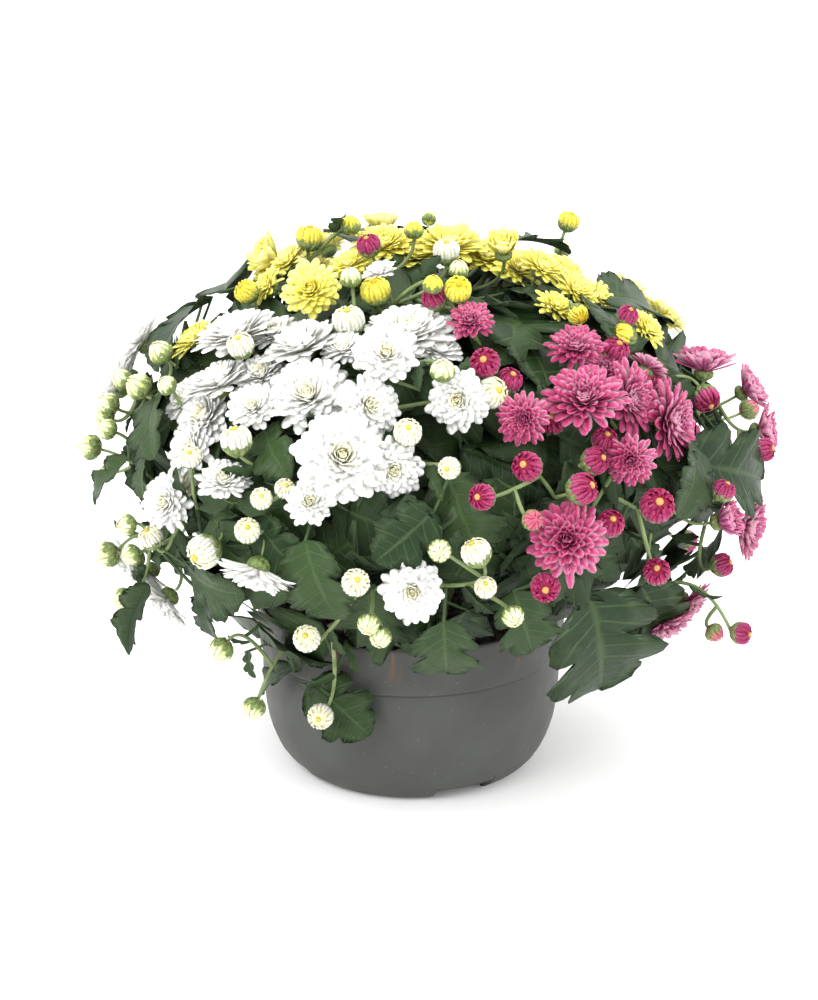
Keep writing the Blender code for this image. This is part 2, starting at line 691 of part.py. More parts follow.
def leaf_shape(root, base, tip, face, spread, grow=0.0):
    """A leaf's corners and faces: a petiole from root to base and a lobed blade from base to tip,
    folded up along its midrib, arched, and split into triangles alike on both sides. It can be
    grown by a margin."""
    length = np.linalg.norm(tip - base)
    way = (tip - base) / length
    face = unit(face - (face @ way) * way)
    across = np.cross(way, face)
    back = unit(base - root)
    root_across = unit(across - (across @ back) * back)
    root_face = np.cross(root_across, back)
    stalk = PETIOLE + grow
    left, right = [], []
    for sign, edge in ((-1, left), (1, right)):
        edge += [root + sign * root_across * 0.6 * stalk, base + sign * across * stalk]
        for share, wide in LEAF_EDGE:
            rise = LEAF_ARCH * 4 * share * (1 - share) + LEAF_FOLD * wide
            out = sign * across * (wide * spread * length + grow)
            edge.append(base + way * length * share + face * length * rise + out)
    rib = [base + way * length * share + face * length * LEAF_ARCH * 4 * share * (1 - share)
           for share in LEAF_RIB]
    thick = face * (LEAF_HALF + grow)
    upper = [root + root_face * 0.6 * stalk, base + face * stalk] + [point + thick for point in rib]
    lower = [root - root_face * 0.6 * stalk, base - face * stalk] + [point - thick for point in rib]
    corners = np.array(left + right + upper + lower + [tip + way * 2 * grow])
    edges, ribs = len(left), len(upper)
    end = len(corners) - 1
    faces = [[0, 2 * edges + ribs, edges, 2 * edges]]
    for edge, spine, turned in ((0, 0, 1), (edges, 0, 0), (0, ribs, 0), (edges, ribs, 1)):
        a, b, lobe, dip, wide, waist = range(edge, edge + edges)
        r, s, t, u = range(2 * edges + spine, 2 * edges + spine + ribs)
        half = [[a, b, r], [r, b, s], [b, lobe, s], [lobe, dip, s], [s, dip, t]]
        half += [[dip, wide, t], [t, wide, u], [wide, waist, u], [waist, end, u]]
        faces += [corner[::-1] for corner in half] if turned else half
    return corners, faces


def tree_of(shape):
    """A search tree over a shape's faces, to ask what it crosses."""
    corners, faces = shape
    return BVHTree.FromPolygons([Vector(corner) for corner in corners], faces)


def wall_of(owner, shape):
    """A shape as something that others must keep clear of."""
    corners = np.asarray(shape[0])
    middle = corners.mean(axis=0)
    reach = np.linalg.norm(corners - middle, axis=-1).max()
    return Wall(owner, middle, reach, tree_of(shape))


def crossed(shape, walls, own=None):
    """How many walls a shape crosses, apart from those of its own kind."""
    mine = wall_of(own, shape)
    count = 0
    for wall in walls:
        if wall.owner != own and math.dist(wall.middle, mine.middle) < wall.reach + mine.reach:
            count += bool(mine.tree.overlap(wall.tree))
    return count


def meets_bowl(shape):
    """Whether a corner or the middle of a face comes too near to the bowl or its peat."""
    corners = np.asarray(shape[0])
    middles = [corners[face].mean(axis=0) for face in shape[1]]
    return bool(inside_bowl(np.vstack([corners, middles])).any())


def add_object(name, shape, collection):
    """A mesh object from corners and faces."""
    corners, faces = shape
    mesh = bpy.data.meshes.new(name)
    mesh.from_pydata(np.asarray(corners).tolist(), [], faces)
    piece = bpy.data.objects.new(name, mesh)
    collection.objects.link(piece)
    return piece


def keep_largest_shell(mesh):
    """Drops loose scraps and the walls of sealed hollows that a union leaves: all but the largest
    shell of the mesh."""
    edit = bmesh.new()
    edit.from_mesh(mesh)
    left, shells = set(edit.faces), []
    while left:
        found, front = set(), [left.pop()]
        while front:
            face = front.pop()
            found.add(face)
            fresh = {other for edge in face.edges for other in edge.link_faces} & left
            left -= fresh
            front += fresh
        shells.append(found)
    shells.sort(key=len)
    spare = [face for shell in shells[:-1] for face in shell]
    bmesh.ops.delete(edit, geom=spare, context="FACES")
    edit.to_mesh(mesh)
    edit.free()


def union_of(name, shapes, collection):
    """One object from shapes that cross, joined by a union on a collection of them."""
    base = add_object(name, shapes[0], collection)
    if len(shapes) > 1:
        pieces = bpy.data.collections.new(name + "_pieces")
        bpy.context.scene.collection.children.link(pieces)
        for number, shape in enumerate(shapes[1:]):
            add_object(f"{name}_piece_{number}", shape, pieces)
        join = base.modifiers.new("join", "BOOLEAN")
        join.operation = "UNION"
        join.operand_type = "COLLECTION"
        join.collection = pieces
        join.solver = "MANIFOLD"
        bpy.context.view_layer.update()
        graph = bpy.context.evaluated_depsgraph_get()
        joined = bpy.data.meshes.new_from_object(base.evaluated_get(graph))
        base.modifiers.clear()
        base.data = joined
        for piece in list(pieces.objects):
            bpy.data.objects.remove(piece)
        bpy.data.collections.remove(pieces)
        keep_largest_shell(joined)
    return base


def material(name, colour, roughness):
    """A plain Principled material."""
    finish = bpy.data.materials.new(name)
    finish.use_nodes = True
    shader = finish.node_tree.nodes["Principled BSDF"]
    shader.inputs["Base Color"].default_value = colour
    shader.inputs["Roughness"].default_value = roughness
    shader.inputs["Metallic"].default_value = 0
    return finish


def turned(name, profile, collection):
    """A turned body on the bowl's axis. Its profile is closed by the axis at both ends and runs
    down its outer side."""
    mesh = bpy.data.meshes.new(name)
    corners = [(radius, 0, height) for radius, height in profile]
    mesh.from_pydata(corners, [(k, k + 1) for k in range(len(corners) - 1)], [])
    piece = bpy.data.objects.new(name, mesh)
    piece.location = BOWL_CENTRE
    collection.objects.link(piece)
    screw = piece.modifiers.new("turn", "SCREW")
    screw.axis = "Z"
    screw.steps = screw.render_steps = BOWL_SIDES
    screw.use_merge_vertices = True
    screw.merge_threshold = 0.00001
    return piece


def cut_with(piece, cutters):
    """Cuts a collection of cutters out of an object."""
    cut = piece.modifiers.new("cut", "BOOLEAN")
    cut.operation = "DIFFERENCE"
    cut.operand_type = "COLLECTION"
    cut.collection = cutters


def add_cutter(name, collection, shape_call):
    """A cutter, from a primitive that shape_call fills into a bmesh."""
    edit = bmesh.new()
    shape_call(edit)
    mesh = bpy.data.meshes.new(name)
    edit.to_mesh(mesh)
    edit.free()
    cutter = bpy.data.objects.new(name, mesh)
    cutter.display_type = "WIRE"
    cutter.hide_render = True
    collection.objects.link(cutter)
    return cutter


def build_bowl(parts, cutters):
    """The moulded bowl: a thin wall with a flared collar above a groove, a raised floor with four
    drain holes, and a foot skirt cut away in four places."""
    inner = RIM_RADIUS - 1.8 * MM
    profile = [(0, FLOOR_TOP), (79 * MM, FLOOR_TOP), (86.4 * MM, 16 * MM), (94.2 * MM, 58 * MM)]
    profile += [(inner, BOWL_HEIGHT), (RIM_RADIUS, BOWL_HEIGHT), (98.3 * MM, COLLAR_BOTTOM)]
    profile += [(97.1 * MM, COLLAR_BOTTOM - 1.2 * MM), (96.4 * MM, 56 * MM), (93.0 * MM, 28 * MM)]
    profile += [(88.0 * MM, 14 * MM), (81.0 * MM, 5 * MM), (FOOT_RADIUS, 0)]
    profile += [(FOOT_RADIUS - FOOT_WIDTH, 0), (79 * MM, FLOOR_UNDER), (0, FLOOR_UNDER)]
    bowl = turned("bowl", profile, parts)
    for number, compass in enumerate(NOTCH_COMPASS):
        notch = add_cutter(f"notch_{number}", cutters, lambda edit: bmesh.ops.create_cube(edit, size=1))
        notch.scale = (30 * MM, NOTCH_WIDTH, 2 * NOTCH_HEIGHT)
        notch.rotation_euler = (0, 0, math.radians(compass))
        way = np.array([math.cos(math.radians(compass)), math.sin(math.radians(compass)), 0])
        notch.location = BOWL_CENTRE + way * (FOOT_RADIUS + 3 * MM)
        drain = add_cutter(f"drain_{number}", cutters, lambda edit: bmesh.ops.create_cone(
            edit, cap_ends=True, segments=8, radius1=DRAIN_RADIUS, radius2=DRAIN_RADIUS, depth=20 * MM))
        drain.location = BOWL_CENTRE + way * DRAIN_OFFSET + UP * FLOOR_TOP
    cut_with(bowl, cutters)
    bowl.data.materials.append(material("bowl_plastic", BOWL_COLOUR, 0.55))
    return bowl


def build_soil(parts, cutters):
    """The peat: it fills the bowl to below the rim and holds a plain hole for each stem."""
    gap = SEAT_GAP / math.cos(math.pi / BOWL_SIDES)
    profile = [(0, SOIL_TOP + 1.5 * MM), (60 * MM, SOIL_TOP + MM), (96.9 * MM - gap, SOIL_TOP - MM)]
    profile += [(94.2 * MM - 1.5 * gap, 58 * MM), (86.4 * MM - 1.8 * gap, 16 * MM)]
    profile += [(78.7 * MM - gap, FLOOR_TOP + SEAT_GAP), (0, FLOOR_TOP + SEAT_GAP)]
    soil = turned("soil", profile, parts)
    for name, line in STEMS.items():
        hole = add_cutter("hole_for_" + name, cutters, lambda edit: bmesh.ops.create_cone(
            edit, cap_ends=True, segments=6, radius1=HOLE_RADIUS, radius2=HOLE_RADIUS, depth=HOLE_DEPTH))
        hole.location = line[0] + UP * (0.5 * HOLE_DEPTH - SEAT_GAP)
    cut_with(soil, cutters)
    soil.data.materials.append(material("peat", PEAT_COLOUR, 0.95))
    return soil


def grouped_blooms():
    """The blooms' shapes, in groups of one colour whose petals cross."""
    groups = []
    for head in BLOOM_HEADS:
        shape = bloom_shape(head)
        tree = tree_of(shape)
        shapes, trees, apart = [shape], [tree], []
        for group in groups:
            if group[0] == head.colour and any(tree.overlap(other) for other in group[2]):
                shapes = shapes + group[1]
                trees = trees + group[2]
            else:
                apart.append(group)
        groups = apart + [(head.colour, shapes, trees)]
    return groups


def chosen_leaves():
    """For each stem, the shapes to fuse: the stem, its stalks, and of each leaf the first try that
    crosses nothing except its own stem at the petiole."""
    shapes = {name: [stem_shape(line)] for name, line in STEMS.items()}
    for name, head, line in STALKS:
        shapes[name].append(stalk_shape(head, line))
    walls = [wall_of("bloom", bloom_shape(head)) for head in BLOOM_HEADS]
    walls += [wall_of(name, shape) for name in STEMS for shape in shapes[name]]
    placed = False
    for leaf in plan_leaves():
        if leaf is None:
            placed = False
        if placed or leaf is None:
            continue
        colour, base, tip, face, spread = leaf
        name, root = petiole_root(colour, base, tip)
        whole = leaf_shape(root, base, tip, face, spread, CLEARANCE)
        blade = leaf_shape(base + (root - base) * 0.1, base, tip, face, spread, CLEARANCE)
        clear = np.linalg.norm(root - base) < LONGEST_PETIOLE and not meets_bowl(whole)
        if clear and not crossed(blade, walls) and not crossed(whole, walls, name):
            shapes[name].append(leaf_shape(root, base, tip, face, spread))
            walls.append(wall_of(name, shapes[name][-1]))
            placed = True
    return shapes


BLOOM_HEADS = place_blooms()
STEMS = plan_stems()
STALKS = plan_stalks()


def main():
    for old in list(bpy.data.objects):
        bpy.data.objects.remove(old)
    scene = bpy.context.scene.collection
    parts = bpy.data.collections.new("pot_chrysanthemum")
    bowl_cutters = bpy.data.collections.new("bowl_cutters")
    soil_cutters = bpy.data.collections.new("soil_cutters")
    for collection in (parts, bowl_cutters, soil_cutters):
        scene.children.link(collection)
    build_bowl(parts, bowl_cutters)
    build_soil(parts, soil_cutters)
    green = material("foliage_green", GREEN_COLOUR, 0.5)
    for name, shapes in chosen_leaves().items():
        union_of(name, shapes, parts).data.materials.append(green)
    numbers = {colour: 0 for colour in PETAL_COLOURS}
    petals = {colour: material(colour + "_petals", rgba, 0.6) for colour, rgba in PETAL_COLOURS.items()}
    for colour, shapes, _ in grouped_blooms():
        numbers[colour] += 1
        blooms = union_of(f"{colour}_blooms_{numbers[colour]:02d}", shapes, parts)
        blooms.data.materials.append(petals[colour])


main()
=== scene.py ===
"""Dresses the pot chrysanthemum: a grey bowl of peat with white, yellow and crimson cuttings in one
domed head. Metres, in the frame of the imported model."""

import math
from collections import namedtuple

import bpy
import numpy as np
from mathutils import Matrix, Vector


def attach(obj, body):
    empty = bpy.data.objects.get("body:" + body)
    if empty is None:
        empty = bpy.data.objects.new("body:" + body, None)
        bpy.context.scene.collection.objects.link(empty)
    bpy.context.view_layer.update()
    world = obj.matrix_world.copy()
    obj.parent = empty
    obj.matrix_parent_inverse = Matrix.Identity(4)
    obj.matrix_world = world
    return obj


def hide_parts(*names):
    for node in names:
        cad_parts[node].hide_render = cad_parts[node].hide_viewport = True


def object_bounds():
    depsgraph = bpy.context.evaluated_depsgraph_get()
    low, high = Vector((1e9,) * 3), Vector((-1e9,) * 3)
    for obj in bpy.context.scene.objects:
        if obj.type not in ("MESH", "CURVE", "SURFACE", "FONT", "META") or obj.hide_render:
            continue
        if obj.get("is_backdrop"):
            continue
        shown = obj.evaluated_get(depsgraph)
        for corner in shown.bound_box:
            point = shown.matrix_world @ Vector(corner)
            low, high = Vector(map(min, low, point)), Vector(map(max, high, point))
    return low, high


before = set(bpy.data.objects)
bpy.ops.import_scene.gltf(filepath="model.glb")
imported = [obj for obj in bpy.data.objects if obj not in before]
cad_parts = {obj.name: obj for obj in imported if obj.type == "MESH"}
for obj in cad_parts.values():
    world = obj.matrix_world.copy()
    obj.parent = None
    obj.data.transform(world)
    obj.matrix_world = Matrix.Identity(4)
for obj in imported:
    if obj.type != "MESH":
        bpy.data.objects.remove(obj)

model_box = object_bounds()

# ---- Bowl ----
# The bowl is one thin injection moulding in grey polypropylene: a flared collar over a shallow
# groove, a round belly, a foot ring cut away in four places and four drain holes in its floor.
MM = 0.001
UP = np.array([0.0, 0.0, 1.0])
BOWL_CENTRE = np.array([-9.0, 0.0, 0.0]) * MM
RIM_RADIUS = 99.8 * MM
BOWL_HEIGHT = 111 * MM
BOWL_INSIDE = [(0, 8.3), (40, 8.3), (78, 8.3), (83.5, 10.4), (86.4, 16), (90.6, 36), (94.2, 60)]
BOWL_LIP = [(96.6, 92), (97.7, 108), (98.0, 110.3), (98.6, 111), (99.3, 110.9), (99.8, 110.2)]
BOWL_COLLAR = [(99.7, 108.5), (99.4, 103), (98.9, 92), (98.5, 82.4), (98.4, 80.9), (97.9, 80.1)]
BOWL_BELLY = [(96.3, 79.7), (96.0, 78.6), (96.6, 76.8), (96.7, 64), (96.1, 53), (95.1, 40), (93.7, 31)]
BOWL_TURN = [(92.0, 25), (90, 19.5), (87.4, 13.6), (84.2, 8.4), (80.6, 4.4), (76.6, 1.6), (73.4, 0.2)]
BOWL_FOOT = [(72.7, 0), (71.6, 0), (71.2, 0.4), (72.6, 2.4), (75.4, 4.9), (77.8, 6.3), (70, 6.5), (0, 6.5)]
BOWL_COLUMNS = 168
NOTCH_COMPASS = np.radians([-66, 24, 114, 204])
NOTCH_HALF_ANGLE = math.radians(13.7)
NOTCH_HEIGHT = 9 * MM
NOTCH_DEPTH = 81.5 * MM
DRAIN_OFFSET = 48 * MM
DRAIN_RADIUS = 5 * MM
BOWL_GREY = (0.054, 0.056, 0.051, 1)
BOWL_WORN = (0.066, 0.069, 0.063, 1)
GROOVE_SHADE = (0.030, 0.030, 0.027, 1)
BOWL_DUST = (0.33, 0.29, 0.25, 1)
RUST = (0.22, 0.085, 0.035, 1)


def unit(vectors):
    """Vectors brought to length one along the last axis."""
    return vectors / np.maximum(np.linalg.norm(vectors, axis=-1, keepdims=True), 1e-12)


def rings_skin(rings, sides):
    """The faces of a closed form made of rings: four-sided between rings, and a fan to the pole at
    each end. The corners are the rings in turn, then the first pole and the last."""
    ring = np.arange(rings - 1)[:, None] * sides
    side, after = np.arange(sides), (np.arange(sides) + 1) % sides
    quads = np.stack([ring + side, ring + after, ring + sides + after, ring + sides + side], axis=-1)
    first, last = rings * sides, rings * sides + 1
    top = (rings - 1) * sides
    start = np.stack([after, side, np.full(sides, first)], axis=-1)
    end = np.stack([top + side, top + after, np.full(sides, last)], axis=-1)
    return [quads.reshape(-1, 4), np.vstack([start, end])]


def make_piece(name, batches, finish, nodes=()):
    """One piece of the plant from batches of like forms. A batch holds the corners of each form, the
    faces that all of them share, and a tint of four numbers for each corner."""
    points, tints, loops, sizes, start = [], [], [], [], 0
    for forms, skins, tint in batches:
        count, corners = forms.shape[:2]
        offsets = start + np.arange(count)[:, None, None] * corners
        for skin in skins:
            loops.append((skin[None] + offsets).ravel())
            sizes.append(np.full(count * len(skin), skin.shape[1]))
        points.append(forms.reshape(-1, 3))
        tints.append(np.broadcast_to(tint, (count, corners, 4)).reshape(-1, 4))
        start += count * corners
    points, tints = np.concatenate(points), np.concatenate(tints)
    loops, sizes = np.concatenate(loops), np.concatenate(sizes)
    mesh = bpy.data.meshes.new(name)
    mesh.vertices.add(len(points))
    mesh.vertices.foreach_set("co", points.ravel())
    mesh.loops.add(len(loops))
    mesh.loops.foreach_set("vertex_index", loops.astype(np.int32))
    mesh.polygons.add(len(sizes))
    mesh.polygons.foreach_set("loop_start", (np.cumsum(sizes) - sizes).astype(np.int32))
    mesh.polygons.foreach_set("use_smooth", np.ones(len(sizes), bool))
    layer = mesh.attributes.new("tint", "FLOAT_COLOR", "POINT")
    layer.data.foreach_set("color", tints.ravel())
    mesh.update(calc_edges=True)
    mesh.materials.append(finish)
    piece = bpy.data.objects.new(name, mesh)
    bpy.context.scene.collection.objects.link(piece)
    if nodes:
        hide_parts(*nodes)
    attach(piece, "root")
    return piece


def add_node(tree, kind, links=(), **settings):
    """A shader node with its settings. links gives its input sockets' names or numbers, and what
    each one takes: another node's output, or a value."""
    node = tree.nodes.new("ShaderNode" + kind)
    for name, value in settings.items():
        setattr(node, name, value)
    for socket, source in dict(links).items():
        if isinstance(source, bpy.types.NodeSocket):
            tree.links.new(source, node.inputs[socket])
        else:
            node.inputs[socket].default_value = source
    return node


def mixed(tree, share, low, high):
    """The colour between low and high at a share."""
    mix = add_node(tree, "Mix", data_type="RGBA")
    for socket, source in ((0, share), (6, low), (7, high)):
        if isinstance(source, bpy.types.NodeSocket):
            tree.links.new(source, mix.inputs[socket])
        else:
            mix.inputs[socket].default_value = source
    return mix.outputs[2]


def ranged(tree, value, low, high, to_low=0.0, to_high=1.0):
    """A value carried from one range to another, and kept inside it."""
    links = {0: value, 1: low, 2: high, 3: to_low, 4: to_high}
    return add_node(tree, "MapRange", links).outputs[0]


def noise(tree, place, scale, detail=3.0):
    """Noise between 0 and 1 at a number of grains a metre."""
    links = {"Vector": place, "Scale": scale, "Detail": detail}
    return add_node(tree, "TexNoise", links).outputs[0]


def new_finish(name, roughness):
    """A material with its tree, its shader and its object coordinates."""
    finish = bpy.data.materials.new(name)
    finish.use_nodes = True
    tree = finish.node_tree
    shader = tree.nodes["Principled BSDF"]
    shader.inputs["Roughness"].default_value = roughness
    return finish, tree, shader, add_node(tree, "TexCoord").outputs["Object"]


def bumped(tree, shader, height, distance, strength=1.0):
    """Raises the shader's surface by a height field."""
    bump = add_node(tree, "Bump", {"Height": height, "Distance": distance, "Strength": strength})
    tree.links.new(bump.outputs[0], shader.inputs["Normal"])


def bowl_plastic():
    """Grey plastic, mottled and lighter where it is rubbed, with dust and brown peat stains under
    the rim, painted shade along the groove under the collar, and a fine moulded grain."""
    finish, tree, shader, place = new_finish("bowl_plastic_grey", 0.5)
    cloudy = ranged(tree, noise(tree, place, 22.0, 5.0), 0.42, 0.68)
    colour = mixed(tree, cloudy, BOWL_GREY, BOWL_WORN)
    specks = ranged(tree, noise(tree, place, 700.0, 1.0), 0.765, 0.80, 0.0, 0.6)
    colour = mixed(tree, specks, colour, BOWL_DUST)
    split = add_node(tree, "SeparateXYZ", {0: place})
    high = ranged(tree, split.outputs["Z"], 0.086, 0.106)
    streak = add_node(tree, "Mapping", {"Vector": place, "Scale": (90.0, 90.0, 14.0)}).outputs[0]
    stain = ranged(tree, noise(tree, streak, 1.0, 4.0), 0.60, 0.72, 0.0, 0.75)
    both = add_node(tree, "Math", {0: high, 1: stain}, operation="MULTIPLY").outputs[0]
    colour = mixed(tree, both, colour, RUST)
    # Painted shade: a dark band along the groove under the collar.
    off_groove = add_node(tree, "Math", {0: split.outputs["Z"], 1: 0.0791}, operation="SUBTRACT").outputs[0]
    off_groove = add_node(tree, "Math", {0: off_groove}, operation="ABSOLUTE").outputs[0]
    colour = mixed(tree, ranged(tree, off_groove, 0.0004, 0.0012, 0.75, 0.0), colour, GROOVE_SHADE)
    tree.links.new(colour, shader.inputs["Base Color"])
    shader.inputs["Specular IOR Level"].default_value = 0.25
    rough = ranged(tree, noise(tree, place, 40.0, 4.0), 0.3, 0.7, 0.42, 0.6)
    tree.links.new(rough, shader.inputs["Roughness"])
    bumped(tree, shader, noise(tree, place, 1400.0, 2.0), 0.00012)
    return finish


def bowl_forms():
    """The profile turned round the axis. Between the edges of a notch, what lies below its height
    is raised to it, and what lies within the foot is drawn out to the notch's depth."""
    profile = np.array(BOWL_INSIDE + BOWL_LIP + BOWL_COLLAR + BOWL_BELLY + BOWL_TURN + BOWL_FOOT) * MM
    edges = [c + s * (NOTCH_HALF_ANGLE + e) for c in NOTCH_COMPASS for s in (-1, 1) for e in (0, 0.004)]
    angles = np.sort(np.append(np.arange(BOWL_COLUMNS) * 2 * math.pi / BOWL_COLUMNS, edges) % (2 * math.pi))
    away = np.abs((angles[:, None] - NOTCH_COMPASS + math.pi) % (2 * math.pi) - math.pi).min(axis=1)
    cut = (away <= NOTCH_HALF_ANGLE + 1e-6)[None, :]
    radius = np.repeat(profile[1:-1, :1], len(angles), axis=1)
    height = np.repeat(profile[1:-1, 1:], len(angles), axis=1)
    low = cut & (height < NOTCH_HEIGHT) & (radius > 70 * MM)
    drawn = np.maximum(radius, NOTCH_DEPTH + (radius - 71.2 * MM) * 0.05)
    radius, height = np.where(low, drawn, radius), np.where(low, NOTCH_HEIGHT, height)
    rings = np.stack([radius * np.cos(angles), radius * np.sin(angles), height], axis=-1)[:, ::-1]
    poles = np.array([[0, 0, profile[0, 1]], [0, 0, profile[-1, 1]]])
    forms = np.vstack([rings.reshape(-1, 3), poles]) + BOWL_CENTRE
    return forms[None], rings_skin(len(rings), len(angles)), np.zeros(4)


bowl = make_piece("bowl_moulding", [bowl_forms()], bowl_plastic(), ["bowl"])
for compass in NOTCH_COMPASS:
    spot = BOWL_CENTRE + DRAIN_OFFSET * np.array([math.cos(compass), math.sin(compass), 0])
    bpy.ops.mesh.primitive_cylinder_add(vertices=32, radius=DRAIN_RADIUS, depth=20 * MM, location=spot)
    drill = bpy.context.object
    hole = bowl.modifiers.new("drain", "BOOLEAN")
    hole.object = drill
    hole.solver = "EXACT"
    bpy.context.view_layer.update()
    drilled = bpy.data.meshes.new_from_object(bowl.evaluated_get(bpy.context.evaluated_depsgraph_get()))
    bowl.modifiers.clear()
    bowl.data = drilled
    bpy.data.objects.remove(drill)

# ---- Peat ----
# The bowl is filled to 13 mm below its rim with dark fibrous peat. Its top is crumbly, with loose
# lumps a few millimetres across, and it hides the roots of the cuttings.
SOIL_TOP = 98 * MM
PEAT_RADIUS = 96.2 * MM
PEAT_RINGS = 44
PEAT_COLUMNS = 150
PEAT_SIDE = [(96.3, 96.5), (93.7, 58), (86, 16.6), (78, 8.9)]
CRUMBS = 900
PEAT_DARK = (0.012, 0.008, 0.006, 1)
PEAT_LIGHT = (0.055, 0.036, 0.024, 1)


def peat_finish():
    """Near-black peat with paler dry fibres, fully matte."""
    finish, tree, shader, place = new_finish("peat_dark", 0.95)
    dry = ranged(tree, noise(tree, place, 420.0, 6.0), 0.45, 0.72)
    tree.links.new(mixed(tree, dry, PEAT_DARK, PEAT_LIGHT), shader.inputs["Base Color"])
    bumped(tree, shader, noise(tree, place, 700.0, 6.0), 0.0012)
    return finish


def rippled(across, waves, seed):
    """A rough height: waves of random direction and phase, each half as high as one twice as long."""
    draw = np.random.default_rng(seed)
    total = np.zeros(across.shape[:-1])
    for wave in range(waves):
        turn, phase = draw.uniform(0, 2 * math.pi, 2)
        pitch = 90 * 1.35 ** wave
        total += np.sin(across @ np.array([math.cos(turn), math.sin(turn)]) * pitch + phase) / 1.3 ** wave
    return total


def peat_forms():
    """A disc of rings with rough heights, closed down the bowl's side to its floor."""
    turn = np.arange(PEAT_COLUMNS) * 2 * math.pi / PEAT_COLUMNS
    circle = np.stack([np.cos(turn), np.sin(turn)], axis=-1)
    reach = PEAT_RADIUS * np.sqrt(np.linspace(0.001, 1, PEAT_RINGS))
    across = reach[:, None, None] * circle
    fade = np.clip((PEAT_RADIUS - reach) / (8 * MM), 0, 1)[:, None]
    height = SOIL_TOP + fade * rippled(across, 16, 3) * 0.75 * MM
    top = np.concatenate([across, height[..., None]], axis=-1)
    side = np.array([np.column_stack([circle * r * MM, np.full(len(circle), z * MM)]) for r, z in PEAT_SIDE])
    rings = np.concatenate([top, side])[:, ::-1]
    poles = np.array([[0, 0, SOIL_TOP], [0, 0, PEAT_SIDE[-1][1] * MM]])
    forms = np.vstack([rings.reshape(-1, 3), poles]) + BOWL_CENTRE
    return forms[None], rings_skin(len(rings), PEAT_COLUMNS), np.zeros(4)


def crumb_forms():
    """Loose lumps: rings of six corners round a ball, each corner moved in or out at random."""
    draw = np.random.default_rng(5)
    reach = (PEAT_RADIUS - 5 * MM) * np.sqrt(draw.uniform(0, 1, CRUMBS))
    turn = draw.uniform(0, 2 * math.pi, CRUMBS)
    place = np.stack([reach * np.cos(turn), reach * np.sin(turn)], axis=-1)
    height = SOIL_TOP + rippled(place, 16, 3) * 0.75 * MM
    size = draw.gamma(2.5, 0.42, CRUMBS) * MM + 0.5 * MM
    around = np.arange(6) * math.pi / 3
    rise = np.array([-0.6, 0, 0.6])
    wide = np.sqrt(1 - rise ** 2)
    ball = np.stack([wide[:, None] * np.cos(around), wide[:, None] * np.sin(around),
                     np.repeat(rise[:, None], 6, axis=1)], axis=-1).reshape(-1, 3)
    ball = np.vstack([ball, [[0, 0, -1], [0, 0, 1]]])
    rough = ball * draw.uniform(0.6, 1.2, (CRUMBS, len(ball), 1)) * size[:, None, None]
    centres = np.column_stack([place, height]) + BOWL_CENTRE
    return centres[:, None] + rough, rings_skin(3, 6), np.zeros(4)


make_piece("peat_bed", [peat_forms(), crumb_forms()], peat_finish(), ["soil"])

# ---- Places of the heads ----
# Every flower head stands on the dome that the three cuttings make together. The near side is read
# from the camera's view, and the far side follows a lattice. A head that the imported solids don't
# hold at its place is left out.
HEAD_CENTRE = np.array([0, 0, 205]) * MM
HEAD_RADII = np.array([198, 198, 140]) * MM
CROWN_HEIGHT = 262 * MM
SPRAY_PLACES = 16
SPRAY_SPACING = 76 * MM
SPRAY_RADIUS = 18 * MM
SPRAY_LIFT = 9 * MM
BUD_PLACES = 58
BUD_SPACING = 24 * MM
BUD_LIFT = 9 * MM
FAR_LIFT = 18 * MM
DEPTH_SHIFTS = [0, -4 * MM, 4 * MM, -8 * MM, 8 * MM, -13 * MM, 13 * MM]
GOLDEN_ANGLE = math.pi * (3 - math.sqrt(5))
SAME_PLACE = 0.02 * MM

# The camera's view: its pitch, its eye and its scale in pixels
VIEW_PITCH = math.radians(19)
EYE_DISTANCE = 1450 * MM
AIM_HEIGHT = 173.5 * MM
FOCAL_PIXELS = 2272
MIDDLE_COLUMN = 425.5
MIDDLE_ROW = 500
VIEW_AHEAD = np.array([0, math.cos(VIEW_PITCH), -math.sin(VIEW_PITCH)])
VIEW_UP = np.array([0, math.sin(VIEW_PITCH), math.cos(VIEW_PITCH)])
VIEW_RIGHT = np.array([1.0, 0, 0])
EYE = UP * AIM_HEIGHT - VIEW_AHEAD * EYE_DISTANCE

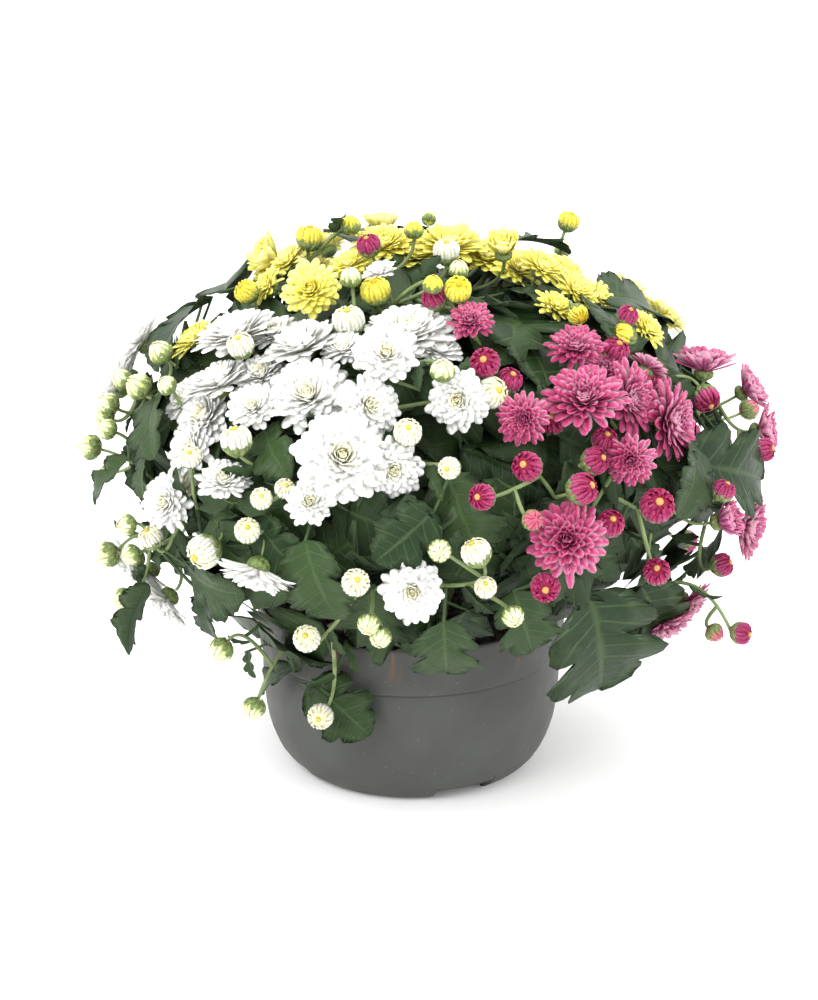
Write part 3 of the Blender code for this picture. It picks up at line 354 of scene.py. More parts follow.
# Open blooms: column and row in the view in pixels, width in mm, the turn from the eye and the
# clock angle it faces in degrees, and how far it stands above the head in mm
BLOOMS = {
    "white": {
        "large_front": (340, 455, 52, 15, 60, 10),
        "large_second": (305, 393, 48, 32, 110, 0),
        "beside_large": (368, 405, 37, 22, 30, -4),
        "cream_low": (391, 470, 34, 12, 300, -6),
        "cream_upper": (384, 352, 37, 25, 90, 12),
        "wide_upper": (405, 328, 54, 62, 95, -5),
        "between_upper": (341, 346, 27, 50, 110, -3),
        "edge_upper": (298, 340, 47, 70, 115, -2),
        "edge_left": (233, 328, 53, 75, 110, 0),
        "edge_left_low": (214, 378, 45, 75, 115, 0),
        "left_side": (200, 415, 40, 52, 150, -12),
        "cream_left": (250, 405, 31, 35, 120, -2),
        "left_cream_face": (187, 447, 35, 48, 155, -4),
        "low_left_face": (221, 478, 31, 45, 90, 4),
        "far_left_face": (163, 502, 34, 38, 180, 0),
        "cream_middle": (307, 502, 28, 15, 90, 2),
        "single_face": (455, 400, 36, 14, 200, 0),
        "single_low": (410, 592, 36, 10, 270, 4),
        "turned_down": (254, 578, 46, 98, 255, 2),
        "top_ball": (377, 270, 23, 65, 115, 0),
    },
    "yellow": {
        "front_face": (309, 288, 37, 30, 110, 4),
        "top_left": (383, 240, 42, 62, 95, -2),
        "top_middle": (450, 240, 46, 66, 88, 0),
        "top_side": (347, 262, 27, 60, 110, -4),
        "cup_right": (502, 247, 27, 55, 95, 5),
        "right_crest": (543, 264, 32, 65, 60, 0),
        "right_slope": (578, 288, 30, 60, 50, -2),
        "far_right": (648, 327, 26, 62, 40, 4),
        "left_under": (286, 258, 32, 80, 130, -2),
        "left_low": (263, 285, 27, 70, 150, -4),
        "far_left": (192, 336, 34, 78, 130, 0),
    },
    "crimson": {
        "large_upper": (582, 395, 49, 42, 90, 6),
        "pale_upper": (574, 344, 34, 46, 90, -2),
        "dark_left": (520, 419, 31, 14, 200, 2),
        "small_top": (469, 319, 27, 36, 90, 2),
        "turned_right": (632, 398, 46, 54, 10, -2),
        "tall_right": (674, 421, 50, 64, 5, 0),
        "dark_low": (628, 461, 31, 16, 270, 4),
        "from_behind": (648, 364, 27, 105, 60, -4),
        "right_up": (704, 362, 40, 80, 85, 0),
        "right_edge": (750, 388, 33, 80, 30, 0),
        "right_edge_low": (765, 430, 32, 80, 5, 0),
        "large_low": (565, 539, 46, 10, 90, 4),
        "cup_right": (724, 520, 27, 68, 12, 4),
        "edge_right": (748, 527, 41, 76, 345, -4),
    },
}

# Half-open heads: column, row, width in mm, turn and clock angle in degrees, lift in mm
BUTTONS = {
    "white": {
        "globe_left": (234, 441, 17, 70, 100, 10),
        "half_low_left": (203, 551, 19, 60, 215, 2),
        "half_top": (239, 346, 15, 50, 110, 6),
        "half_right": (489, 393, 17, 40, 20, -2),
        "half_upper": (347, 322, 18, 60, 100, -2),
        "half_far_left": (150, 538, 14, 60, 120, 0),
        "left_button": (188, 457, 13, 30, 100, 12),
        "behind_left": (184, 478, 20, 60, 240, -8),
        "front_button": (405, 433, 15, 30, 80, 4),
        "right_button": (447, 468, 12, 20, 200, 4),
        "low_button": (245, 531, 14, 20, 90, 4),
        "pair_button": (259, 499, 12, 20, 90, 4),
        "pair_green": (282, 489, 11, 30, 60, 0),
        "rim_left_button": (353, 583, 15, 20, 60, 6),
        "rim_button": (305, 639, 15, 20, 120, 6),
        "hanging_button": (320, 716, 15, 25, 230, 4),
        "half_low_right": (474, 553, 16, 60, 120, 4),
        "pink_low": (483, 588, 12, 30, 90, 4),
        "top_half": (445, 252, 15, 65, 90, 6),
    },
    "yellow": {
        "cup_left": (255, 250, 23, 72, 155, 4),
        "cup_second": (309, 238, 16, 80, 85, 6),
        "cup_top": (381, 211, 20, 85, 90, 8),
        "top_button": (456, 290, 15, 30, 80, 8),
        "left_button": (246, 292, 14, 60, 140, 0),
        "right_end": (591, 290, 16, 70, 40, -4),
        "right_tip": (576, 314, 12, 50, 300, -2),
        "hidden_right": (622, 338, 16, 70, 150, -4),
        "hidden_middle": (374, 292, 17, 60, 100, -8),
    },
    "crimson": {
        "left_upper": (483, 363, 16, 20, 120, 6),
        "left_second": (507, 381, 14, 50, 60, -4),
        "front_upper": (525, 467, 16, 25, 150, 2),
        "left_low": (480, 497, 14, 30, 180, 4),
        "branch_end": (579, 489, 17, 60, 20, 6),
        "behind_dark": (550, 420, 16, 20, 90, -8),
        "pair_upper": (602, 440, 14, 40, 60, -2),
        "pair_lower": (592, 461, 15, 60, 20, -2),
        "beside_large": (608, 524, 15, 30, 60, 0),
        "right_face": (655, 506, 19, 20, 60, 4),
        "low_right": (655, 572, 15, 20, 90, 4),
        "low_left": (543, 587, 16, 15, 270, 4),
        "right_under": (722, 491, 13, 70, 60, 4),
        "right_low": (721, 565, 14, 70, 20, 0),
        "edge_low": (763, 450, 14, 75, 10, -6),
        "right_behind": (705, 398, 16, 60, 300, -6),
        "pale_behind": (613, 352, 16, 60, 60, -8),
        "top_pink": (433, 299, 14, 60, 120, 0),
        "top_left_pink": (368, 246, 14, 60, 110, 4),
        "top_right_pink": (626, 316, 12, 60, 60, 2),
        "hanging_right": (740, 633, 13, 70, 350, 0),
    },
}

# Closed buds: column and row in the view in pixels, and width in mm
BUDS = {
    "white": {
        "far_left": [(89, 447, 15), (107, 404, 14), (103, 416, 13), (106, 429, 12)],
        "left_top": [(121, 379, 12), (137, 386, 15), (159, 352, 14), (165, 385, 11)],
        "left_low": [(106, 555, 15), (130, 555, 12), (125, 525, 12), (123, 599, 13)],
        "over_rim": [(253, 708, 13), (220, 650, 14), (366, 625, 12), (378, 638, 12)],
        "front_low": [(437, 551, 12), (511, 617, 12)],
        "top": [(440, 370, 13), (349, 277, 12), (457, 269, 11)],
    },
    "yellow": {
        "top": [(413, 230, 11), (350, 225, 12), (431, 284, 11)],
    },
    "crimson": {
        "right_low": [(714, 633, 11), (530, 520, 11)],
    },
}

Head = namedtuple("Head", "colour kind name centre axis width")
solid_corners = {name: np.array([corner.co for corner in node.data.vertices])
                 for name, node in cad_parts.items()}


def on_head(column, row, lift):
    """Where the line of sight through a pixel meets the head, an ellipsoid raised by lift. The
    space is scaled until the ellipsoid is a unit ball; a line that misses it gives its nearest
    point to the centre."""
    radii = HEAD_RADII + lift
    sight = VIEW_AHEAD + VIEW_RIGHT * (column - MIDDLE_COLUMN) / FOCAL_PIXELS
    sight = sight + VIEW_UP * (MIDDLE_ROW - row) / FOCAL_PIXELS
    start = (EYE - HEAD_CENTRE) / radii
    step = sight / radii
    middle = -(start @ step) / (step @ step)
    miss = start + middle * step
    inside = max(0.0, 1 - miss @ miss)
    return EYE + sight * (middle - math.sqrt(inside / (step @ step)))


def facing(place, turn, clock):
    """The direction at an angle turn from the line to the eye, towards a clock angle in the view."""
    to_eye = unit(EYE - place)
    side = unit(np.cross(VIEW_UP, to_eye))
    rise = np.cross(to_eye, side)
    turn, clock = math.radians(turn), math.radians(clock)
    across = side * math.cos(clock) + rise * math.sin(clock)
    return to_eye * math.cos(turn) + across * math.sin(turn)


def outward(place):
    """The direction in which the head faces at a place."""
    return unit((place - HEAD_CENTRE) / HEAD_RADII**2)


def head_lattice(count, lowest):
    """Evenly spread places on the head from its top down to a height fraction, on a golden spiral."""
    order = np.arange(count) + 0.5
    height = 1 - order / count * (1 - lowest)
    ring = np.sqrt(1 - height**2)
    angle = order * GOLDEN_ANGLE
    ball = np.stack([ring * np.cos(angle), ring * np.sin(angle), height], axis=-1)
    return HEAD_CENTRE + ball * HEAD_RADII


def cutting_at(place):
    """Which of the three cuttings grows at a place, by compass angle, with yellow on the crown."""
    angle = math.degrees(math.atan2(place[1], place[0])) % 360
    if place[2] > CROWN_HEIGHT and 15 < angle < 165:
        return "yellow"
    if angle < 48 or angle > 288:
        return "crimson"
    return "yellow" if angle < 138 else "white"


def hidden(place):
    """Whether the head turns a place away from the view."""
    return outward(place) @ unit(EYE - place) < 0


def on_dome(place):
    """The point of the head's dome that lies outward from a place."""
    return HEAD_CENTRE + HEAD_RADII * unit((place - HEAD_CENTRE) / HEAD_RADII)


def plan_blooms():
    """Every open bloom. The near side is read from the view. On the far side a lattice holds
    sprays of three blooms that touch."""
    heads = []
    draw = np.random.default_rng(7)
    for colour, named in BLOOMS.items():
        for name, (column, row, width, turn, clock, lift) in named.items():
            place = on_head(column, row, lift * MM)
            heads.append(Head(colour, "bloom", name, place, facing(place, turn, clock), width * MM))
    for number, place in enumerate(head_lattice(SPRAY_PLACES, -0.62)):
        sizes, first = draw.uniform(34, 43, 3) * MM, draw.uniform(0, 2)
        gap = min(np.linalg.norm(place - head.centre) for head in heads)
        if gap < SPRAY_SPACING or not hidden(place):
            continue
        side = unit(np.cross(outward(place), UP))
        rise = np.cross(side, outward(place))
        for k, size in enumerate(sizes):
            turn = first + k * 2 * math.pi / 3
            spot = on_dome(place + (side * math.cos(turn) + rise * math.sin(turn)) * SPRAY_RADIUS)
            spot = spot + outward(spot) * SPRAY_LIFT
            axis = unit(outward(spot) + draw.normal(0, 0.1, 3))
            heads.append(Head(cutting_at(place), "bloom", f"far_{number}_{k}", spot, axis, size))
    return heads


def plan_small_heads(blooms):
    """Every button and bud: the near side is read from the view, and on the far side a lattice
    fills the room between the blooms."""
    heads = []
    draw = np.random.default_rng(11)
    for colour, named in BUTTONS.items():
        for name, (column, row, width, turn, clock, lift) in named.items():
            place = on_head(column, row, lift * MM)
            heads.append(Head(colour, "button", name, place, facing(place, turn, clock), width * MM))
    for colour, groups in BUDS.items():
        for group, places in groups.items():
            for number, (column, row, width) in enumerate(places):
                place = on_head(column, row, BUD_LIFT)
                axis = unit(outward(place) + 0.15 * UP)
                heads.append(Head(colour, "bud", f"{group}_{number}", place, axis, width * MM))
    for number, place in enumerate(head_lattice(BUD_PLACES, -0.66)):
        size, lean = draw.uniform(9, 16) * MM, draw.normal(0, 0.25, 3)
        kind = "button" if draw.uniform() < 0.4 else "bud"
        gap = min(np.linalg.norm(place - h.centre) - 0.5 * h.width for h in blooms + heads)
        if gap > BUD_SPACING and hidden(place):
            place = place + outward(place) * FAR_LIFT
            axis = unit(outward(place) + lean)
            heads.append(Head(cutting_at(place), kind, f"far_{number}", place, axis, size))
    return heads


def moved(head, shift):
    """A head moved along the line of sight, which leaves it where the view shows it."""
    return head._replace(centre=head.centre + unit(head.centre - EYE) * shift)


def seat_of(head):
    """Where a head joins its stalk: below its centre, along its axis."""
    return head.centre - head.axis * head.width * (0.17 if head.kind == "bloom" else 0.5)


def solid_with(points, names, least):
    """The first of the named solids that has a corner at no fewer than some count of the points."""
    for name in names:
        gaps = np.linalg.norm(solid_corners[name][None] - np.asarray(points)[:, None], axis=-1)
        if (gaps.min(axis=1) < SAME_PLACE).sum() >= least:
            return name
    return None


def crown_of(head):
    """The top of the bloom's middle, where the innermost petals close."""
    radius = 0.5 * head.width
    share = 0.95 if head.name.startswith("cup") else 0.46
    if radius > 19 * MM and share < 0.9 and not head.name.startswith("far"):
        share = 0.52
    return seat_of(head) + head.axis * radius * share * 0.92


bloom_heads, bloom_nodes = [], []
for head in plan_blooms():
    names = [name for name in solid_corners if name.startswith(head.colour + "_blooms")]
    for shift in DEPTH_SHIFTS:
        node = solid_with([crown_of(moved(head, shift))], names, 1)
        if node:
            bloom_heads.append(moved(head, shift))
            bloom_nodes.append(node)
            break

# Smaller blooms that fill the gaps between the large ones: column, row, width in mm, turn and clock
FILLERS = {
    "yellow": [(416, 250, 44, 60, 92), (487, 254, 40, 62, 84), (520, 266, 34, 56, 70), (563, 270, 34, 62, 60),
               (600, 296, 30, 66, 45), (556, 304, 26, 58, 60), (357, 268, 30, 60, 110), (270, 268, 30, 66, 130)],
    "white": [(258, 372, 32, 48, 112), (184, 398, 34, 60, 150), (272, 330, 32, 62, 110), (436, 346, 30, 52, 70)],
    "crimson": [(655, 395, 34, 50, 30), (603, 368, 30, 45, 80)],
}
filler_heads = []
for colour, places in FILLERS.items():
    for column, row, width, turn, clock in places:
        place = on_head(column, row, -9 * MM)
        filler_heads.append(Head(colour, "bloom", "filler", place, facing(place, turn, clock), width * MM))

# ---- Stems and stalks ----
# Fourteen leafy stems rise from three rooted cuttings. Each carries branching stalks, pale grey-green
# and ribbed, that end under the heads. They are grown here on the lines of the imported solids.
CUTTING_OFFSET = 36 * MM
STEM_SPREAD = 11 * MM
STEM_REACH = 0.62
STEM_POINTS = 5
FOOT_DEPTH = 22 * MM
FOOT_LENGTH = 26 * MM
TWIG_RADIUS = 0.75 * MM
TWIG_END_RADIUS = 0.9 * MM
NECK_RADIUS = 1.5 * MM
CUP_RADIUS = 4.0 * MM
CUP_HEIGHT = 5.0 * MM
SEAT_GAP = 0.3 * MM
SMALL_BUD = 12 * MM
STRAIGHT_UNDER = 48 * MM
ROOM = 1.6 * MM
BOWL_ROOM = 3.5 * MM
BOWS = [0, 10 * MM, 22 * MM, 38 * MM, 60 * MM, -10 * MM, -24 * MM]
CLASH_COST = 30 * MM
TRIES = 220
STALK_POINTS = 14
STALK_SIDES = 8
MOST_ARCH = 16 * MM
STEM_GREEN = (0.110, 0.160, 0.052, 1)
STEM_PALE = (0.235, 0.300, 0.130, 1)
STEM_FLUSH = (0.190, 0.090, 0.060, 1)

# Leafy stems: the compass angle at which each cutting stands in the bowl and, for each stem that
# rises from it, the compass and height angle of its end in the head and the side its foot is on
CUTTINGS = {
    "white": (222, [(182, 32, 150), (222, 52, 60), (262, 58, 330), (206, 8, 206), (258, 16, 268)]),
    "crimson": (322, [(292, 50, 220), (335, 46, 130), (4, 14, 0), (312, 14, 300), (30, 34, 60)]),
    "yellow": (92, [(128, 62, 235), (64, 60, 320), (142, 20, 165), (88, 24, 88)]),
}


def inside_heads(points, heads):
    """How many of the heads each point falls in. A head's room is a flat ellipsoid."""
    total = np.zeros(points.shape[:-1])
    for head in heads:
        away = points - head.centre
        above = away @ head.axis
        across = np.linalg.norm(away - above[..., None] * head.axis, axis=-1)
        half = (0.23 if head.kind == "bloom" else 0.55) * head.width + ROOM
        total += (above / half) ** 2 + (across / (0.5 * head.width + ROOM)) ** 2 < 1
    return total


def inside_bowl(points):
    """Whether points fall in the bowl's wall or its peat, with a little room round it."""
    radius = np.linalg.norm((points - BOWL_CENTRE)[..., :2], axis=-1)
    low = points[..., 2] < BOWL_HEIGHT + BOWL_ROOM
    wall = (radius > RIM_RADIUS - 1.8 * MM - BOWL_ROOM) & (radius < RIM_RADIUS + BOWL_ROOM)
    peat = (radius < RIM_RADIUS) & (points[..., 2] < SOIL_TOP + BOWL_ROOM)
    return low & (wall | peat)


def bezier(corners, shares):
    """Points on a Bezier curve of any degree, by drawing in its corners towards each other."""
    shares = np.asarray(shares)[..., None]
    corners = list(corners)
    while len(corners) > 1:
        corners = [a + (b - a) * shares for a, b in zip(corners, corners[1:])]
    return corners[0]


def along(line, shares):
    """Points at shares of a line, counted by its corners, and the line's direction there."""
    place = np.clip(np.asarray(shares), 0, 1) * (len(line) - 1)
    first = np.minimum(place.astype(int), len(line) - 2)
    part = (place - first)[..., None]
    return line[first] * (1 - part) + line[first + 1] * part, unit(line[first + 1] - line[first])


def plan_stems(count):
    """The leafy stems' centre lines: upright out of a hole in the peat, then bent into the head on
    a curve of count points."""
    lines = {}
    for colour, (compass, ends) in CUTTINGS.items():
        compass = math.radians(compass)
        foot = BOWL_CENTRE + CUTTING_OFFSET * np.array([math.cos(compass), math.sin(compass), 0])
        for number, stem_angles in enumerate(ends):
            angle, height, side = np.radians(stem_angles)
            way = np.array([math.cos(angle), math.sin(angle), 0])
            step = np.array([math.cos(side), math.sin(side), 0])
            aim = way * math.cos(height) + UP * math.sin(height)
            end = HEAD_CENTRE * [1, 1, 0.7] + aim * STEM_REACH / np.linalg.norm(aim / HEAD_RADII)
            start = foot + step * STEM_SPREAD + UP * (SOIL_TOP - FOOT_DEPTH)
            free = start + UP * FOOT_LENGTH
            bend = bezier([free, free + UP * 0.4 * FOOT_LENGTH, end - aim * FOOT_LENGTH, end],
                          np.linspace(0, 1, count))
            lines[f"{colour}_stem_{number + 1}"] = np.vstack([start, bend])
    return lines


def stem_for(colour, place):
    """The stem of a cutting that passes nearest to a place."""
    gaps = {}
    for name, line in stems.items():
        if name.startswith(colour):
            upper = along(line, np.linspace(0.5, 1, 6))[0]
            gaps[name] = np.linalg.norm(upper - place, axis=-1).min()
    return min(gaps, key=gaps.get)


def stalk_lines(head, hosts):
    """Lines from places on the hosts to a head, the short and climbing ones first. They arrive
    along the head's axis, and bow up or down on the way. With each go the corners of its curve."""
    end = seat_of(head)
    if head.kind == "bloom":
        end = end - head.axis * (CUP_HEIGHT + SEAT_GAP)
    starts, ways = [], []
    for line, first, last in hosts:
        places, directions = along(line, np.linspace(first, last, 9))
        starts.append(places)
        ways.append(directions)
    starts, ways = np.concatenate(starts), np.concatenate(ways)
    gaps = np.linalg.norm(end - starts, axis=-1)
    bows = np.array(BOWS)[:, None]
    middles = (end - head.axis * gaps[:, None] * 0.4)[None] + UP * bows[..., None]
    share = np.linspace(0.15, 0.95, 8)[:, None]
    paths = (1 - share) ** 2 * starts[None, :, None] + share**2 * end
    paths = paths + 2 * share * (1 - share) * middles[:, :, None]
    bad = inside_heads(paths, bloom_heads).sum(axis=-1) + inside_bowl(paths).sum(axis=-1)
    climb = (unit(middles - starts) * ways).sum(axis=-1)
    cost = gaps * (1.3 - 0.3 * climb) + 0.4 * np.abs(bows) + CLASH_COST * bad
    cost = cost + np.where(gaps < 8 * MM, 1, 0)
    for pick in np.argsort(cost, axis=None, kind="stable")[:TRIES]:
        bow, start = np.unravel_index(pick, cost.shape)
        corners = [starts[start], middles[bow, start], end]
        yield bezier(corners, np.linspace(0, 1, 2 if gaps[start] < STRAIGHT_UNDER else 3)), corners


def swept(points, radii, sides):
    """Rings of corners round a line, square to it, with a radius at each of its points."""
    ways = unit(np.gradient(points, axis=0))
    helper = np.eye(3)[np.argmin(np.abs(ways).sum(axis=0))]
    side = unit(helper - (ways @ helper)[:, None] * ways)
    other = np.cross(ways, side)
    turn = np.arange(sides) * 2 * math.pi / sides
    circle = np.cos(turn)[:, None] * side[:, None] + np.sin(turn)[:, None] * other[:, None]
    return points[:, None] + circle * np.array(radii)[:, None, None]


def solid_ring(head, line):
    """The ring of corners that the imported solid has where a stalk's line meets its cup or bud."""
    seat = seat_of(head)
    radii = [TWIG_RADIUS] + [TWIG_END_RADIUS] * (len(line) - 1)
    if head.kind == "bloom":
        points = np.vstack([line, seat - head.axis * SEAT_GAP])
        return swept(points, radii[:-1] + [NECK_RADIUS, CUP_RADIUS], 4)[len(line) - 1]
    shares = [0.42, 0.82] if head.kind == "bud" else [0.6, 0.95]
    shares = shares[:1] if head.width < SMALL_BUD else shares
    points = np.vstack([line] + [seat + head.axis * head.width * share for share in shares])
    return swept(points, radii + [TWIG_RADIUS] * len(shares), 5)[len(line) - 1]


stems = plan_stems(STEM_POINTS)
stalks, stalk_curves = [], []
hosts = {name: [(line, 0.35, 1.0)] for name, line in stems.items()}
host_curves = {name: [line] for name, line in plan_stems(24).items()}
for head in bloom_heads + plan_small_heads(bloom_heads):
    stem = stem_for(head.colour, head.centre)
    lines = ((moved(head, shift), line, corners)
             for shift in (DEPTH_SHIFTS if head.kind != "bloom" else [0])
             for line, corners in stalk_lines(moved(head, shift), hosts[stem]))
    for trial, line, corners in lines:
        if solid_with(solid_ring(trial, line), [stem], 3):
            nearby = np.concatenate(host_curves[stem])
            root = nearby[np.argmin(np.linalg.norm(nearby - corners[0], axis=-1))]
            middle = np.minimum(corners[1], [1, 1, max(root[2], corners[2][2]) + MOST_ARCH])
            curve = bezier([root, middle, corners[2]], np.linspace(0, 1, STALK_POINTS))
            hosts[stem].append((line, 0.25, 0.75))
            host_curves[stem].append(curve)
            stalks.append((stem, trial, line))
            stalk_curves.append(curve)
            break

for head in filler_heads:
    stem = stem_for(head.colour, head.centre)
    end = seat_of(head) - head.axis * CUP_HEIGHT
    nearby = np.concatenate(host_curves[stem])
    root = nearby[np.argmin(np.linalg.norm(nearby - end + head.axis * 15 * MM, axis=-1))]
    bend = end - head.axis * 0.4 * np.linalg.norm(end - root)
    stalk_curves.append(bezier([root, bend, end], np.linspace(0, 1, STALK_POINTS)))
    host_curves[stem].append(stalk_curves[-1])


def stalk_finish():
    """Pale grey-green skin with a fine grain, flushed brown here and there."""
    finish, tree, shader, place = new_finish("stalk_skin", 0.55)
    colour = mixed(tree, ranged(tree, noise(tree, place, 60.0), 0.35, 0.65), STEM_GREEN, STEM_PALE)
    flush = ranged(tree, noise(tree, place, 25.0), 0.62, 0.75, 0.0, 0.6)
    tree.links.new(mixed(tree, flush, colour, STEM_FLUSH), shader.inputs["Base Color"])
    shader.inputs["Specular IOR Level"].default_value = 0.3
    bumped(tree, shader, noise(tree, place, 900.0, 2.0), 0.0003)
    return finish


def closed_rings(rings):
    """Rings of corners with their two end poles, as one form."""
    return np.vstack([rings.reshape(-1, 3), rings[0].mean(axis=0), rings[-1].mean(axis=0)])[None]


stalk_skin = stalk_finish()
for name, curves in host_curves.items():
    bend = plan_stems(24)[name]
    radii = np.linspace(2.2 * MM, 1.5 * MM, len(bend))
    batches = [(closed_rings(swept(bend, radii, 10)), rings_skin(len(bend), 10), np.zeros(4))]
    twigs = [closed_rings(swept(curve, np.linspace(1.35 * MM, 1.0 * MM, STALK_POINTS), STALK_SIDES))
             for curve in curves[1:]]
    if twigs:
        batches.append((np.concatenate(twigs), rings_skin(STALK_POINTS, STALK_SIDES), np.zeros(4)))
    make_piece(name + "_stalks", batches, stalk_skin, [name])

# ---- Leaves ----
# Chrysanthemum leaves: deeply lobed blades with rounded teeth on flat petioles, dark and slightly
# bluish green, glossier above than below, with a pale midrib and sunken side veins.
LEAF_PLACES = 52
LEAF_SINKS = [0, 8 * MM, 16 * MM, -6 * MM]
LEAF_TRIES = [(0, 0), (10 * MM, 0), (4 * MM, 0.6), (4 * MM, -0.6), (20 * MM, 0.3), (12 * MM, -1.1)]
LEAF_ARCH = 0.09
LEAF_FOLD = 0.16
INNER_LEAVES = 260
# The large leaves, by their place in the table, that are pressed so near their neighbours that the
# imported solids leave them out
CROWDED_LEAVES = [0, 1, 2, 3, 4, 5, 6, 7, 9, 10, 11, 12, 13, 14, 15]
# Leaves that hang in front of the bowl: columns and rows of tip and base, and their spread
HANGING_LEAVES = [(369, 736, 312, 680, 0.85), (261, 692, 294, 668, 0.38), (254, 678, 249, 650, 0.60),
                  (357, 673, 345, 642, 0.30)]
HANGING_RADIUS = 109 * MM
# Half a blade from base to tip: how far along its edge and its rib point are, and the edge's half
# width over the spread
LEAF_EDGE_ALONG = [0, .02, .03, .07, .13, .155, .205, .245, .295, .33, .385, .405, .415, .425, .455, .48,
                   .51, .555, .60, .65, .685, .725, .742, .745, .785, .835, .865, .915, .945, .985, 1]
LEAF_EDGE_OUT = [.02, .10, .20, .285, .345, .395, .415, .452, .44, .452, .405, .34, .285, .245, .30, .375,
                 .43, .462, .50, .48, .49, .44, .375, .305, .335, .335, .285, .25, .17, .095, .012]
LEAF_RIB_ALONG = [0, .01, .03, .05, .07, .09, .11, .14, .17, .19, .22, .24, .26, .28, .31, .34,
                  .37, .41, .46, .50, .53, .56, .59, .62, .67, .73, .79, .85, .92, .97, 1]
# The rows of that outline that a shaded leaf or a small one keeps
COARSE_ROWS = [0, 3, 7, 10, 13, 18, 20, 23, 25, 28, 30]
LEAF_GREEN = (0.009, 0.025, 0.007, 1)
LEAF_BRIGHT = (0.025, 0.051, 0.013, 1)
LEAF_VEIN = (0.062, 0.104, 0.034, 1)
LEAF_UNDER = (0.062, 0.095, 0.048, 1)

# Large leaves that the view shows: column and row of the tip and of the blade's base, and the
# blade's width over its length
LEAVES = {
    "crimson": {
        "hanging_broad": (598, 690, 588, 592, 0.86),
        "right_spear": (767, 480, 676, 462, 0.62),
        "behind_small_top": (548, 382, 487, 302, 0.70),
        "top_right": (560, 312, 505, 292, 0.50),
        "serrated": (624, 352, 594, 306, 0.80),
        "low_right": (660, 640, 640, 585, 0.80),
        "low_middle": (530, 652, 512, 590, 0.75),
    },
    "white": {
        "low_left": (124, 655, 148, 585, 0.66),
        "over_bowl": (365, 733, 322, 678, 0.80),
        "shoulder": (302, 575, 256, 520, 0.80),
        "left_fan": (238, 598, 186, 564, 0.80),
        "dark_centre": (285, 478, 262, 430, 0.75),
        "front_centre": (372, 562, 432, 510, 0.80),
        "far_left_spear": (92, 503, 128, 458, 0.40),
        "left_inner": (140, 498, 150, 448, 0.70),
        "below_turned": (215, 640, 205, 596, 0.70),
    },
}


def plan_leaves():
    """Leaves to try: colour, blade base, tip, the way the blade faces and its spread. The large
    ones are read from the view; the others end on a lattice just under the head."""
    leaves = []
    for colour, named in LEAVES.items():
        for tip_column, tip_row, base_column, base_row, spread in named.values():
            for sink in LEAF_SINKS:
                tip = on_head(tip_column, tip_row, -2 * MM - sink)
                base = on_head(base_column, base_row, -12 * MM - sink)
                leaves.append((colour, base, tip, outward(0.5 * (base + tip)), spread))
            leaves.append(None)
    draw = np.random.default_rng(23)
    for place in head_lattice(LEAF_PLACES, -0.8):
        face = outward(place)
        down = -UP + (UP @ face) * face + (place - HEAD_CENTRE) * 0.5
        down = unit(down - (down @ face) * face)
        length, spread = draw.uniform(44, 60) * MM, draw.uniform(0.74, 0.92)
        first = draw.normal(0, 0.6)
        for sink, turn in LEAF_TRIES:
            way = down * math.cos(first + turn) + np.cross(face, down) * math.sin(first + turn)
            tip = place - face * sink
            base = tip - way * length - face * length * 0.25
            leaves.append((cutting_at(place), base, tip, face, spread))
        leaves.append(None)
    return leaves


def petiole_root(colour, base, tip):
    """The stem, and the place on it or on one of its stalks, from which a leaf's petiole is short,
    runs on into the blade and is clear of the heads and the bowl."""
    hosts, starts = [], []
    for name, line in stems.items():
        if name.startswith(colour):
            starts.append(along(line, np.linspace(0.3, 1, 20))[0])
            hosts += [name] * 20
    for name, _, line in stalks:
        if name.startswith(colour):
            starts.append(along(line, np.linspace(0.1, 0.75, 8))[0])
            hosts += [name] * 8
    starts = np.concatenate(starts)
    gaps = np.linalg.norm(base - starts, axis=-1)
    paths = starts[:, None] + (base - starts)[:, None] * np.linspace(0.2, 1, 5)[:, None]
    bad = inside_heads(paths, bloom_heads).sum(axis=-1) + inside_bowl(paths).sum(axis=-1)
    turn = 1 - (unit(base - starts) * unit(tip - base)).sum(axis=-1)
    pick = int(np.argmin(gaps + 12 * MM * turn + CLASH_COST * bad))
    return hosts[pick], starts[pick]


